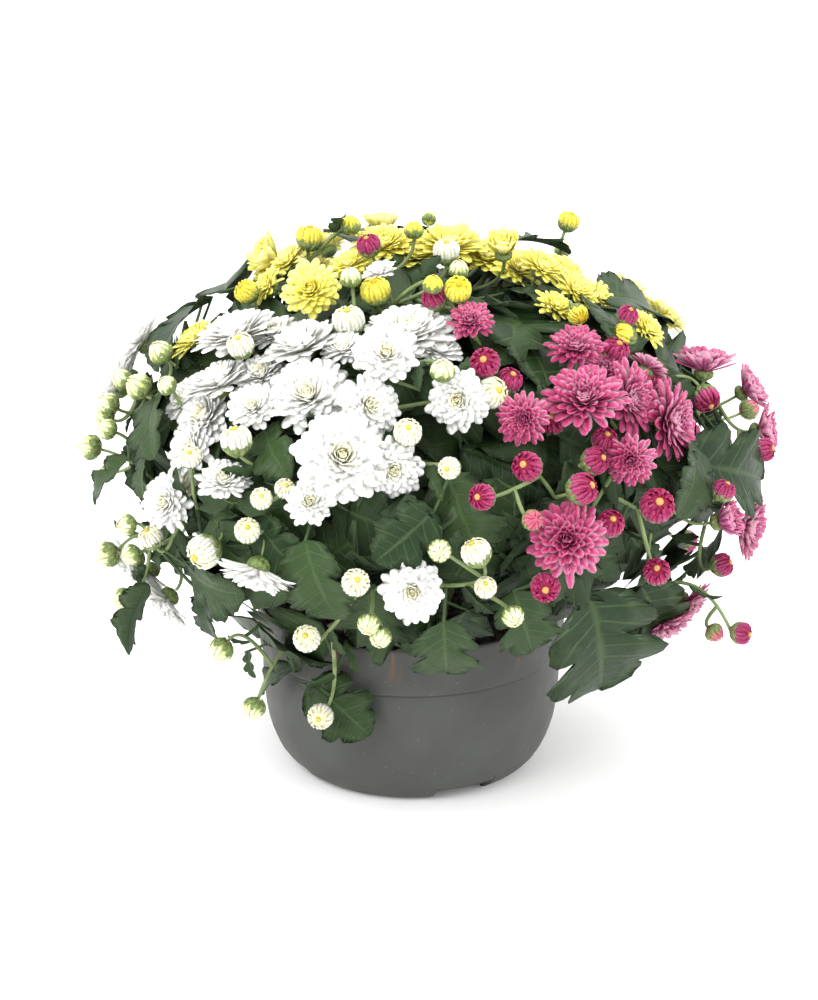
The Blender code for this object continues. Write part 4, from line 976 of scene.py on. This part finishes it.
def leaf_finish():
    """Dark green, brighter from leaf to leaf, with a pale midrib and a vein to
    each lobe, drawn from the blade's own tint: along the rib, out from it, underside, chance."""
    finish, tree, shader, place = new_finish("leaf_blade", 0.42)
    tint = add_node(tree, "Attribute", attribute_name="tint")
    split = add_node(tree, "SeparateColor", {0: tint.outputs["Color"]})
    along_rib, out, under = split.outputs[0], split.outputs[1], split.outputs[2]
    chance = tint.outputs["Alpha"]
    mottle = add_node(tree, "Math", {0: noise(tree, place, 90.0, 4.0), 1: chance}, operation="ADD")
    colour = mixed(tree, ranged(tree, mottle.outputs[0], 0.55, 1.45), LEAF_GREEN, LEAF_BRIGHT)
    ripple = add_node(tree, "Math", {0: along_rib, 1: 9.0 * 2 * math.pi}, operation="MULTIPLY")
    wave = add_node(tree, "Math", {0: ripple.outputs[0]}, operation="COSINE").outputs[0]
    side_vein = ranged(tree, wave, 0.86, 1.0)
    mid_vein = ranged(tree, out, 0.10, 0.02)
    vein = add_node(tree, "Math", {0: side_vein, 1: mid_vein}, operation="MAXIMUM").outputs[0]
    faint = add_node(tree, "Math", {0: vein, 1: 0.42}, operation="MULTIPLY").outputs[0]
    colour = mixed(tree, faint, colour, LEAF_VEIN)
    colour = mixed(tree, under, colour, LEAF_UNDER)
    tree.links.new(colour, shader.inputs["Base Color"])
    rough = ranged(tree, under, 0.0, 1.0, 0.38, 0.7)
    tree.links.new(rough, shader.inputs["Roughness"])
    shader.inputs["Specular IOR Level"].default_value = 0.18
    quilt = add_node(tree, "Math", {0: noise(tree, place, 260.0, 2.0), 1: vein}, operation="SUBTRACT")
    bumped(tree, shader, quilt.outputs[0], 0.0007, 0.6)
    return finish


def blade_forms(bases, tips, faces, spreads, seed, coarse=False):
    """Lobed blades. Each ring goes round the blade at one rib point: over the rib, out to the right
    edge, back under the rib to the left edge. The blade is folded up along its rib, arched, and
    waved at its edge, and each lobe is a little longer or shorter by chance. A coarse blade keeps
    a third of the outline's rows and every second point round it."""
    draw = np.random.default_rng(seed)
    rows, step = (COARSE_ROWS, 2) if coarse else (slice(None), 1)
    edge_along, rib_along, edge_out = (np.array(table)[rows] for table in
                                       (LEAF_EDGE_ALONG, LEAF_RIB_ALONG, LEAF_EDGE_OUT))
    count, stations = len(bases), len(edge_along)
    length = np.linalg.norm(tips - bases, axis=-1)[:, None, None, None]
    way = unit(tips - bases)
    face = unit(faces - (faces * way).sum(axis=-1, keepdims=True) * way)
    across = np.cross(way, face)
    way, face, across = (side[:, None, None] for side in (way, face, across))
    reach = np.array([0, 0.5, 1, 0.5, 0, -0.5, -1, -0.5])[::step]
    under = np.array([0, 0, 0.5, 1, 1, 1, 0.5, 0])[::step]
    lobes = 1 + 0.07 * draw.normal(0, 1, (count, stations, 1)) * edge_out[None, :, None]
    out = edge_out[None, :, None] * lobes * reach
    place = rib_along[:, None] + np.abs(reach) * (edge_along - rib_along)[:, None]
    phase = draw.uniform(0, 2 * math.pi, (count, 1, 1))
    wave = 0.022 * np.sin(place * 17 + phase + 1.5 * reach) * np.abs(reach) ** 2
    droop = draw.uniform(0.0, 0.10, (count, 1, 1)) * place ** 3
    rise = LEAF_ARCH * 4 * place * (1 - place) + LEAF_FOLD * np.abs(out) + wave - droop
    thick = np.where(under == 1, -1.0, 1.0) * (np.abs(reach) < 1) * 0.18 * MM
    thick = thick - (under == 1) * (reach == 0) * 0.5 * MM
    points = bases[:, None, None] + way * length * place[..., None] + face * (length * rise[..., None])
    points = points + across * length * (out * spreads[:, None, None])[..., None]
    points = points + face * thick[None, None, :, None]
    forms = points.reshape(count, -1, 3)
    forms = np.concatenate([forms, bases[:, None], points[:, -1].mean(axis=1)[:, None]], axis=1)
    tint = np.zeros((count, stations, len(reach), 4))
    tint[..., 0] = rib_along[:, None]
    tint[..., 1] = np.abs(reach)
    tint[..., 2] = under
    tint = np.concatenate([tint.reshape(count, -1, 4), np.zeros((count, 2, 4))], axis=1)
    tint[..., 3] = draw.uniform(0, 1, (count, 1))
    return forms, rings_skin(stations, len(reach)), tint


def petiole_forms(roots, bases, faces):
    """Petioles: round stalks that sag a little between the root and the blade."""
    forms = []
    for root, base, face in zip(roots, bases, faces):
        gap = np.linalg.norm(base - root)
        middle = 0.5 * (root + base) - UP * 0.10 * gap
        line = bezier([root, middle, base + 0.06 * (base - root)], np.linspace(0, 1, 7))
        forms.append(closed_rings(swept(line, np.linspace(1.3 * MM, 0.9 * MM, 7), 6)))
    return np.concatenate(forms), rings_skin(7, 6), np.array([0.5, 0.0, 0.35, 0.5])


leaves, placed, first, group = {name: [] for name in stems}, False, None, 0
for leaf in plan_leaves():
    if leaf is None:
        if not placed and group in CROWDED_LEAVES:
            stem, root = petiole_root(*first[:3])
            leaves[stem].append((root, *first[1:]))
        placed, first, group = False, None, group + 1
    if placed or leaf is None:
        continue
    first = first or leaf
    colour, base, tip, face, spread = leaf
    stem, root = petiole_root(colour, base, tip)
    length = np.linalg.norm(tip - base)
    way = (tip - base) / length
    normal = unit(face - (face @ way) * way)
    lift = (LEAF_ARCH * 4 * 0.60 * 0.40 + LEAF_FOLD * 0.50) * normal
    lobe = base + length * (way * 0.60 + lift + np.cross(way, normal) * 0.50 * spread)
    if solid_with([tip, lobe], [stem], 2):
        leaves[stem].append((root, base, tip, face, spread))
        placed = True

leaf_blade = leaf_finish()
for number, (stem, blades) in enumerate(leaves.items()):
    if blades:
        roots, bases, tips, faces, spreads = (np.array(column) for column in zip(*blades))
        curves = np.concatenate(host_curves[stem])
        near = np.linalg.norm(curves[None] - roots[:, None], axis=-1).argmin(axis=1)
        batches = [blade_forms(bases, tips, faces, spreads, 40 + number),
                   petiole_forms(curves[near], bases, faces)]
        make_piece(stem + "_leaves", batches, leaf_blade, [stem])


def round_bowl(column, row):
    """Where the view's ray through a pixel first meets a cylinder round the bowl: the nearer root of
    the ray's square distance from the bowl's axis less the radius squared."""
    ray = VIEW_AHEAD + (VIEW_RIGHT * (column - MIDDLE_COLUMN) + VIEW_UP * (MIDDLE_ROW - row)) / FOCAL_PIXELS
    start = (EYE - BOWL_CENTRE)[:2]
    square, cross = ray[:2] @ ray[:2], ray[:2] @ start
    reach = (-cross - math.sqrt(cross ** 2 - square * (start @ start - HANGING_RADIUS ** 2))) / square
    return EYE + ray * reach


bases = np.array([round_bowl(*leaf[2:4]) for leaf in HANGING_LEAVES])
tips = np.array([round_bowl(*leaf[:2]) for leaf in HANGING_LEAVES])
spreads = np.array([leaf[4] for leaf in HANGING_LEAVES])
faces = unit(0.5 * (bases + tips) - BOWL_CENTRE)
curves = np.concatenate([curve for lines in host_curves.values() for curve in lines])
near = np.linalg.norm(curves[None] - bases[:, None], axis=-1).argmin(axis=1)
batches = [blade_forms(bases, tips, faces, spreads, 36), petiole_forms(curves[near], bases, faces)]
make_piece("hanging_leaves", batches, leaf_blade)


def inner_leaves():
    """The shaded leaves that fill the head below its surface. They lie at two depths on a lattice,
    tips out and down."""
    draw = np.random.default_rng(31)
    bases, tips, faces = [], [], []
    for number, place in enumerate(head_lattice(INNER_LEAVES, -0.78)):
        depth = (14 + 20 * (number % 3) + draw.uniform(0, 10)) * MM
        normal = outward(place)
        down = unit(-UP + (UP @ normal) * normal + (place - HEAD_CENTRE) * 0.5)
        down = unit(down - (down @ normal) * normal)
        turn = draw.normal(0, 0.9)
        way = down * math.cos(turn) + np.cross(normal, down) * math.sin(turn)
        length = draw.uniform(50, 70) * MM
        tip = place - normal * depth
        base = tip - way * length - normal * length * 0.3
        if not inside_bowl(np.array([tip, base, 0.5 * (tip + base)])).any():
            bases.append(base)
            tips.append(tip)
            faces.append(unit(normal + draw.normal(0, 0.25, 3)))
    return np.array(bases), np.array(tips), np.array(faces)


bases, tips, faces = inner_leaves()
spreads = np.random.default_rng(33).uniform(0.78, 0.95, len(bases))
curves = np.concatenate([curve for lines in host_curves.values() for curve in lines])
near = np.linalg.norm(curves[None] - bases[:, None], axis=-1).argmin(axis=1)
batches = [blade_forms(bases, tips, faces, spreads, 34, coarse=True),
           petiole_forms(curves[near], bases, faces)]
make_piece("shaded_leaves", batches, leaf_blade)


def stalk_leaves():
    """Small spear-shaped leaves where the longer stalks branch. Each leaves its stalk at a slant, on
    the side away from the head's middle."""
    draw = np.random.default_rng(37)
    bases, tips, faces = [], [], []
    for curve in stalk_curves:
        if np.linalg.norm(curve[-1] - curve[0]) > 26 * MM:
            base, way = curve[5], unit(curve[6] - curve[4])
            normal = outward(base)
            aside = np.cross(way, normal) * draw.choice([-1, 1])
            slant = unit(way * draw.uniform(0.4, 0.9) + aside + normal * draw.uniform(-0.2, 0.5))
            tip = base + slant * draw.uniform(15, 27) * MM
            if not inside_bowl(np.array([tip, 0.5 * (tip + base)])).any():
                bases.append(base)
                tips.append(tip)
                faces.append(unit(normal + draw.normal(0, 0.3, 3)))
    return np.array(bases), np.array(tips), np.array(faces)


bases, tips, faces = stalk_leaves()
spreads = np.random.default_rng(38).uniform(0.34, 0.55, len(bases))
batches = [blade_forms(bases, tips, faces, spreads, 39, coarse=True)]
make_piece("stalk_leaves", batches, leaf_blade)

# ---- Green cups ----
# Under each bloom sits a shallow green cup of blunt overlapping bracts with pale papery edges. It
# grows out of the stalk's thickened end and holds all the petals at their bases.
CUP_BRACTS = 26
# The cup's profile, in shares of its radius: how far up, and how wide
CUP_BODY = ([0, 0.25, 0.6, 1.0, 1.3], [0.35, 0.8, 1.05, 1.1, 0.9])
CUP_GREEN = (0.075, 0.125, 0.030, 1)
CUP_LIGHT = (0.200, 0.265, 0.090, 1)
CUP_EDGE = (0.330, 0.310, 0.140, 1)


def sideways(axes):
    """Two directions square to each axis and to each other."""
    helper = np.eye(3)[np.argmin(np.abs(axes), axis=-1)]
    side = unit(np.cross(axes, helper))
    return side, np.cross(axes, side)


def bract_finish():
    """Fresh green, darker down the middle of each bract, with a pale edge."""
    finish, tree, shader, place = new_finish("bract_skin", 0.5)
    tint = add_node(tree, "Attribute", attribute_name="tint")
    split = add_node(tree, "SeparateColor", {0: tint.outputs["Color"]})
    share = ranged(tree, noise(tree, place, 320.0), 0.3, 0.7)
    colour = mixed(tree, share, CUP_GREEN, CUP_LIGHT)
    edge = ranged(tree, split.outputs[1], 0.45, 1.0, 0.0, 0.75)
    tree.links.new(mixed(tree, edge, colour, CUP_EDGE), shader.inputs["Base Color"])
    shader.inputs["Specular IOR Level"].default_value = 0.3
    bumped(tree, shader, noise(tree, place, 1100.0, 2.0), 0.0002)
    return finish


def swollen(starts, axes, radii, shares, widths):
    """Round bodies on axes: rings of twelve corners at shares of the radius along the axis, each as
    wide as its share of the radius."""
    side, other = sideways(axes)
    turn = np.arange(12) * math.pi / 6
    spokes = np.cos(turn)[:, None] * side[:, None] + np.sin(turn)[:, None] * other[:, None]
    size = radii[:, None, None, None]
    rings = starts[:, None, None] + axes[:, None, None] * size * np.array(shares)[:, None, None]
    rings = rings + spokes[:, None] * size * np.array(widths)[:, None, None]
    forms = rings.reshape(len(starts), -1, 3)
    poles = rings.mean(axis=2)[:, [0, -1]]
    return np.concatenate([forms, poles], axis=1), rings_skin(len(shares), 12)


def scale_forms(starts, axes, radii, body, count, feet, long, wide, seed, bulge=0.06):
    """Scales laid over a round body, at golden-angle turns from the lower feet to the upper. Each is
    a ringed blade. Its middle line follows the body's own profile upwards, and stands off it by the
    bulge at its tip. All sizes are shares of the body's radius."""
    draw = np.random.default_rng(seed)
    side, other = sideways(axes)
    turn = np.arange(count) * GOLDEN_ANGLE + draw.uniform(0, 6, (len(starts), 1))
    spoke = (np.cos(turn)[..., None] * side[:, None] + np.sin(turn)[..., None] * other[:, None])[:, :, None]
    across = np.cross(axes[:, None, None], spoke)
    rank = np.linspace(0, 1, count)[:, None]
    station = np.array([0, 0.35, 0.72, 1.0])
    climb = feet[0] + (feet[1] - feet[0]) * rank + station * long
    over = np.maximum(climb - body[0][-1], 0)
    out = np.interp(climb, *body) * 1.03 + bulge * (0.3 + station ** 2) - over
    size = radii[:, None, None, None]
    climb = np.minimum(climb, body[0][-1] + 0.05) * np.ones((len(starts), 1, 1))
    middle = starts[:, None, None] + (axes[:, None, None] * climb[..., None] + spoke * out[..., None]) * size
    narrow = np.minimum(1.0, 0.35 + out)[..., None]
    edge = across * (wide * np.array([0.75, 1.0, 0.85, 0.25]))[:, None] * narrow * size
    lift = spoke * size * 0.05
    rings = np.stack([middle + lift, middle - edge - lift, middle - lift, middle + edge - lift], axis=3)
    rings = rings[..., ::-1, :]
    forms = rings.reshape(len(starts) * count, -1, 3)
    poles = rings.mean(axis=3).reshape(len(forms), -1, 3)[:, [0, -1]]
    tint = np.zeros((len(forms), 18, 4))
    tint[:, :16, 0] = np.repeat(station, 4)
    tint[:, :16, 1] = np.tile([1, 0, 1, 0], 4)
    tint[:, 17, 0] = 1
    tint[..., 3] = draw.uniform(0, 1, (len(forms), 1))
    return np.concatenate([forms, poles], axis=1), rings_skin(4, 4), tint


bract_skin = bract_finish()
cupped_heads = bloom_heads + filler_heads
starts = np.array([seat_of(head) - head.axis * CUP_HEIGHT for head in cupped_heads])
axes = np.array([head.axis for head in cupped_heads])
radii = np.array([max(0.26 * 0.5 * head.width, 4.6 * MM) for head in cupped_heads])
cup, skins = swollen(starts, axes, radii, *CUP_BODY)
bracts = scale_forms(starts, axes, radii, CUP_BODY, CUP_BRACTS, (0.1, 0.7), 0.85, 0.36, 8)
make_piece("bloom_cups", [(cup, skins, np.zeros(4)), bracts], bract_skin)

# ---- Blooms ----
# Double pompon blooms. Each has about a hundred spoon-shaped petals set in a spiral: the outer ones
# lie flat, and the inner ones stand up and close over a small heart.
PETAL_STATIONS = [0, 0.22, 0.46, 0.70, 0.88, 1]
PETAL_OUTLINE = [0.34, 0.64, 0.90, 1.0, 0.88, 0.46]
PETAL_HALF = {"white": 0.175, "yellow": 0.155, "crimson": 0.130}
PETAL_CHANNEL = {"white": 0.22, "yellow": 0.28, "crimson": 0.50}
PETAL_COLOURS = {
    "white": {"tip": (0.96, 0.96, 0.93, 1), "heart": (0.86, 0.80, 0.36, 1), "deep": (0.88, 0.87, 0.70, 1),
              "back": (0.96, 0.95, 0.90, 1)},
    "yellow": {"tip": (0.98, 0.90, 0.120, 1), "heart": (0.90, 0.68, 0.020, 1), "deep": (0.86, 0.62, 0.020, 1),
               "back": (0.94, 0.84, 0.15, 1)},
    "crimson": {"tip": (0.40, 0.018, 0.095, 1), "heart": (0.22, 0.006, 0.035, 1), "deep": (0.20, 0.006, 0.035, 1),
                "back": (0.62, 0.135, 0.320, 1)},
}
# Blooms whose petals still stand up round the middle, and how far
CUPPED = {"cup_right": 1.0, "cup_left": 1.0, "cup_top": 0.9, "right_up": 0.5, "right_edge": 0.5, "right_edge_low": 0.5, "edge_right": 0.4}


def petal_finish(colour):
    """Petal colour from the tint: along the petal, its place in the spiral, its back, and chance.
    The heart and the petals' feet are deeper, the backs paler, with a fine grain."""
    finish, tree, shader, place = new_finish(colour + "_petal", 0.55)
    tones = PETAL_COLOURS[colour]
    tint = add_node(tree, "Attribute", attribute_name="tint")
    split = add_node(tree, "SeparateColor", {0: tint.outputs["Color"]})
    along_petal, rank, back = split.outputs[0], split.outputs[1], split.outputs[2]
    outer = ranged(tree, rank, 0.02, 0.42)
    shade = mixed(tree, outer, tones["heart"], tones["tip"])
    foot = ranged(tree, along_petal, 0.75, 0.12)
    shade = mixed(tree, add_node(tree, "Math", {0: foot, 1: 0.75}, operation="MULTIPLY").outputs[0],
                  shade, tones["deep"])
    shade = mixed(tree, add_node(tree, "Math", {0: back, 1: 0.85}, operation="MULTIPLY").outputs[0],
                  shade, tones["back"])
    chance = ranged(tree, tint.outputs["Alpha"], 0, 1, 0.90, 1.06)
    grain = ranged(tree, noise(tree, place, 500.0), 0.3, 0.7, 0.95, 1.03)
    value = add_node(tree, "Math", {0: chance, 1: grain}, operation="MULTIPLY").outputs[0]
    scaled = add_node(tree, "VectorMath", {0: shade, "Scale": value}, operation="SCALE").outputs[0]
    tree.links.new(scaled, shader.inputs["Base Color"])
    shader.inputs["Specular IOR Level"].default_value = 0.18
    shader.inputs["Subsurface Weight"].default_value = 0.5
    shader.inputs["Subsurface Scale"].default_value = 0.006
    shader.inputs["Subsurface Radius"].default_value = (1.0, 0.85, 0.8)
    bumped(tree, shader, noise(tree, place, 900.0, 2.0), 0.0002, 0.5)
    return finish


def petal_forms(head, seed):
    """The petals of a bloom. A petal's middle line starts near the axis and turns from one angle to
    another as it goes out; it is ringed by four corners: middle, edge, back and edge, with the edges
    raised to a channel. Angles, length and width follow its rank in the spiral."""
    draw = np.random.default_rng(seed)
    radius = 0.5 * head.width
    count = int(np.clip(50 + 3.0 * radius / MM, 80, 134))
    rank = (np.arange(count) + 0.5) / count
    jitter = draw.normal(0, 1, (5, count))
    cupped = CUPPED.get(head.name, 0.0)
    first = np.radians(10 + (66 - 10 * cupped) * rank ** 0.8 + 3 * jitter[0])
    last = np.radians(-38 + (133 - 75 * cupped) * rank ** 0.62 + 6 * jitter[1])
    length = radius * (0.30 + (0.66 + 0.2 * cupped) * rank ** 0.8) * (1 + 0.05 * jitter[2])
    half = PETAL_HALF[head.colour] * radius * (0.50 + 0.55 * rank ** 0.6) * (1 + 0.07 * jitter[3])
    half = half * (1 + 0.45 * cupped)
    station = np.array(PETAL_STATIONS)
    angle = first[:, None] + (last - first)[:, None] * station
    middle = 0.5 * (angle[:, 1:] + angle[:, :-1])
    step = np.diff(station) * length[:, None]
    start = np.zeros((count, 1))
    out = 0.11 * radius * np.sqrt(rank)[:, None] + np.hstack([start, np.cumsum(step * np.sin(middle), axis=1)])
    rise = np.hstack([start, np.cumsum(step * np.cos(middle), axis=1)])
    rise = rise + radius * (0.10 - 0.05 * rank)[:, None]
    side, other = sideways(head.axis[None])
    turn = np.arange(count) * GOLDEN_ANGLE + draw.uniform(0, 6) + 0.05 * jitter[4]
    spoke = (np.cos(turn)[:, None] * side + np.sin(turn)[:, None] * other)[:, None]
    across = np.cross(head.axis, spoke)
    front = head.axis * np.sin(angle)[..., None] - spoke * np.cos(angle)[..., None]
    line = seat_of(head) + spoke * out[..., None] + head.axis * rise[..., None]
    wide = (half[:, None] * np.array(PETAL_OUTLINE))[..., None]
    roll = np.radians(draw.normal(0, 9, count))[:, None, None] * station[:, None]
    tilted = across * np.cos(roll) + front * np.sin(roll)
    raised = front * wide * PETAL_CHANNEL[head.colour] * (1.1 - 0.5 * rank)[:, None, None]
    thick = front * 0.22 * MM
    rings = np.stack([line + thick, line - tilted * wide + raised, line - thick,
                      line + tilted * wide + raised], axis=2)
    forms = rings.reshape(count, -1, 3)
    poles = np.stack([line[:, 0], line[:, -1] + (line[:, -1] - line[:, -2]) * 0.22], axis=1)
    tint = np.zeros((count, forms.shape[1] + 2, 4))
    tint[:, :-2, 0] = np.repeat(station, 4)
    tint[:, -1, 0] = 1
    tint[:, :-2, 2] = np.tile([0, 0.36, 1, 0.36], len(station))
    tint[..., 1] = rank[:, None]
    tint[..., 3] = draw.uniform(0, 1, (count, 1))
    return np.concatenate([forms, poles], axis=1), rings_skin(len(station), 4), tint


petal_skins = {colour: petal_finish(colour) for colour in PETAL_COLOURS}
for node in sorted(set(bloom_nodes)):
    batches = [petal_forms(head, 300 + number) for number, head in enumerate(bloom_heads)
               if bloom_nodes[number] == node]
    colour = node.split("_")[0]
    make_piece(node + "_petals", batches, petal_skins[colour], [node])
for colour in FILLERS:
    batches = [petal_forms(head, 400 + number) for number, head in enumerate(filler_heads)
               if head.colour == colour]
    make_piece(colour + "_filler_petals", batches, petal_skins[colour])

# ---- Buds and buttons ----
# Younger heads. A bud is a ribbed ball, still half wrapped in green bracts. A button has begun to
# open: its petals stand in a tight ring over the bracts and curl in round a small disc.
BUD_BODY = ([0, 0.25, 0.55, 0.9, 1.3, 1.65, 1.9, 2.0], [0.4, 0.75, 0.95, 1.0, 0.88, 0.62, 0.32, 0.12])
BUTTON_BODY = ([0, 0.3, 0.7, 1.2, 1.6, 1.85, 1.95], [0.4, 0.74, 0.93, 0.98, 0.84, 0.6, 0.3])
BUD_COLOURS = {"white": ((0.40, 0.46, 0.13, 1), (0.82, 0.79, 0.50, 1)),
               "yellow": ((0.46, 0.46, 0.04, 1), (0.86, 0.74, 0.06, 1)),
               "crimson": ((0.42, 0.20, 0.12, 1), (0.50, 0.060, 0.150, 1))}
DISC_COLOURS = {"white": (0.62, 0.52, 0.07, 1), "yellow": (0.62, 0.40, 0.02, 1), "crimson": (0.66, 0.34, 0.10, 1)}


def disc_finish(colour):
    """Tiny closed florets, grainy and matte."""
    finish, tree, shader, place = new_finish(colour + "_disc", 0.7)
    share = ranged(tree, noise(tree, place, 1600.0, 1.0), 0.35, 0.65)
    dark = tuple(0.55 * level for level in DISC_COLOURS[colour][:3]) + (1,)
    tree.links.new(mixed(tree, share, dark, DISC_COLOURS[colour]), shader.inputs["Base Color"])
    bumped(tree, shader, noise(tree, place, 1600.0, 1.0), 0.0005)
    return finish


def bud_finish(colour):
    """Closed petals: greenish low down, the bloom's colour higher up, each a little different."""
    finish, tree, shader, place = new_finish(colour + "_bud", 0.55)
    tint = add_node(tree, "Attribute", attribute_name="tint")
    split = add_node(tree, "SeparateColor", {0: tint.outputs["Color"]})
    chance = add_node(tree, "Math", {0: tint.outputs["Alpha"], 1: 0.4}, operation="MULTIPLY").outputs[0]
    ripe = add_node(tree, "Math", {0: split.outputs[0], 1: chance}, operation="ADD").outputs[0]
    shade = mixed(tree, ranged(tree, ripe, 0.25, 1.15), *BUD_COLOURS[colour])
    tree.links.new(shade, shader.inputs["Base Color"])
    shader.inputs["Subsurface Weight"].default_value = 0.3
    shader.inputs["Subsurface Scale"].default_value = 0.003
    bumped(tree, shader, noise(tree, place, 900.0, 2.0), 0.0002, 0.5)
    return finish


def petal_tint(tint, ranks, backs):
    """The tint of scales used as petals: along, rank, back and chance."""
    tint = tint.copy()
    tint[..., 1], tint[..., 2] = ranks, backs
    return tint


small_heads = [(stem, head) for stem, head, line in stalks
               if head.kind != "bloom" and head.name not in ("cup_left", "cup_top")]
opening = [head._replace(width=1.4 * head.width) for stem, head, line in stalks
           if head.name in ("cup_left", "cup_top")]
make_piece("yellow_opening_petals", [petal_forms(head, 290 + number) for number, head in enumerate(opening)],
           petal_skins["yellow"])
bract_batches = []
for colour in PETAL_COLOURS:
    for kind, body in (("bud", BUD_BODY), ("button", BUTTON_BODY)):
        heads = [head for stem, head in small_heads if head.colour == colour and head.kind == kind]
        if not heads:
            continue
        starts, axes = np.array([seat_of(head) for head in heads]), np.array([head.axis for head in heads])
        radii = np.array([0.5 * head.width for head in heads])
        core, skins = swollen(starts, axes, 0.93 * radii, *body)
        if kind == "bud":
            outer, outer_skins, tint = scale_forms(starts, axes, radii, body, 13, (0.5, 0.8), 1.25, 0.27, 71)
            batches = [(core, skins, np.array([0.6, 0.3, 0.3, 0.5])),
                       (outer, outer_skins, petal_tint(tint, 0.12, 0.45))]
            bract_batches.append(scale_forms(starts, axes, radii, body, 17, (-0.05, 0.55), 0.8, 0.33, 72))
        else:
            outer, outer_skins, tint = scale_forms(starts, axes, radii, body, 21, (0.4, 0.75), 1.18, 0.25, 73)
            inner, inner_skins, fine = scale_forms(starts, axes, 0.97 * radii, body, 21, (1.1, 1.5), 0.5, 0.17, 74)
            batches = [(core, skins, np.array([0.3, 0.05, 0.0, 0.5])),
                       (outer, outer_skins, petal_tint(tint, 0.2, 0.8 - 0.8 * tint[..., 0])),
                       (inner, inner_skins, petal_tint(fine, 0.1, 0.0))]
            bract_batches.append(scale_forms(starts, axes, radii, body, 15, (-0.05, 0.3), 0.75, 0.33, 75))
            disc, disc_skins = swollen(starts + axes * radii[:, None] * 1.78, axes, 0.25 * radii,
                                       [0, 0.4, 0.75, 0.95], [0.9, 1.0, 0.7, 0.3])
            make_piece(f"{colour}_button_discs", [(disc, disc_skins, np.zeros(4))], disc_finish(colour))
        finish = bud_finish(colour) if kind == "bud" else petal_skins[colour]
        make_piece(f"{colour}_{kind}s", batches, finish)
make_piece("bud_bracts", bract_batches, bract_skin)

# ---- Studio ----
# The plant stands on a white table against white, under wide soft lights in front of and above it.
# The camera is where the photograph was taken from.
CAMERA_OFFSET = -10.5 * MM
CAMERA_LENS = 81.8
TABLE_SIZE = 60.0
WHITE = (0.93, 0.93, 0.93, 1)


def table_finish():
    """Plain matte white with a trace of cloudiness."""
    finish, tree, shader, place = new_finish("table_white", 0.8)
    cloudy = ranged(tree, noise(tree, place, 1.5), 0.0, 1.0)
    tree.links.new(mixed(tree, cloudy, WHITE, (0.95, 0.95, 0.95, 1)), shader.inputs["Base Color"])
    return finish


def soft_light(name, place, aim, size, power):
    """A square area light at a place, turned to shine at its aim."""
    lamp = bpy.data.lights.new(name, "AREA")
    lamp.shape = "SQUARE"
    lamp.size = size
    lamp.energy = power
    light = bpy.data.objects.new(name, lamp)
    light.location = place
    light.rotation_euler = (Vector(aim) - Vector(place)).to_track_quat("-Z", "Y").to_euler()
    bpy.context.scene.collection.objects.link(light)


bpy.ops.mesh.primitive_plane_add(size=TABLE_SIZE, location=(0, 0, 0))
table = bpy.context.object
table.name = "table_top"
table.data.materials.append(table_finish())
table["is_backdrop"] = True

world = bpy.data.worlds.new("white_room")
world.use_nodes = True
world.node_tree.nodes["Background"].inputs["Color"].default_value = (1, 1, 1, 1)
world.node_tree.nodes["Background"].inputs["Strength"].default_value = 1.6
bpy.context.scene.world = world
soft_light("key", (-1.3, -1.5, 1.9), (0, 0, 0.2), 1.4, 42)
soft_light("fill", (1.6, -1.2, 1.0), (0, 0, 0.2), 1.6, 15)
soft_light("top", (0.1, 0.3, 2.2), (0, 0, 0.2), 1.6, 25)

bpy.context.scene.view_settings.view_transform = "Standard"
camera = bpy.data.objects.new("camera", bpy.data.cameras.new("camera"))
camera.data.sensor_fit = "VERTICAL"
camera.data.sensor_height = 36
camera.data.lens = CAMERA_LENS
camera.location = EYE + np.array([CAMERA_OFFSET, 0, 0])
camera.rotation_euler = (math.radians(90) - VIEW_PITCH, 0, 0)
bpy.context.scene.collection.objects.link(camera)
bpy.context.scene.camera = camera

[[list(map(float, corner)) for corner in box] for box in (model_box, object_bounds())]
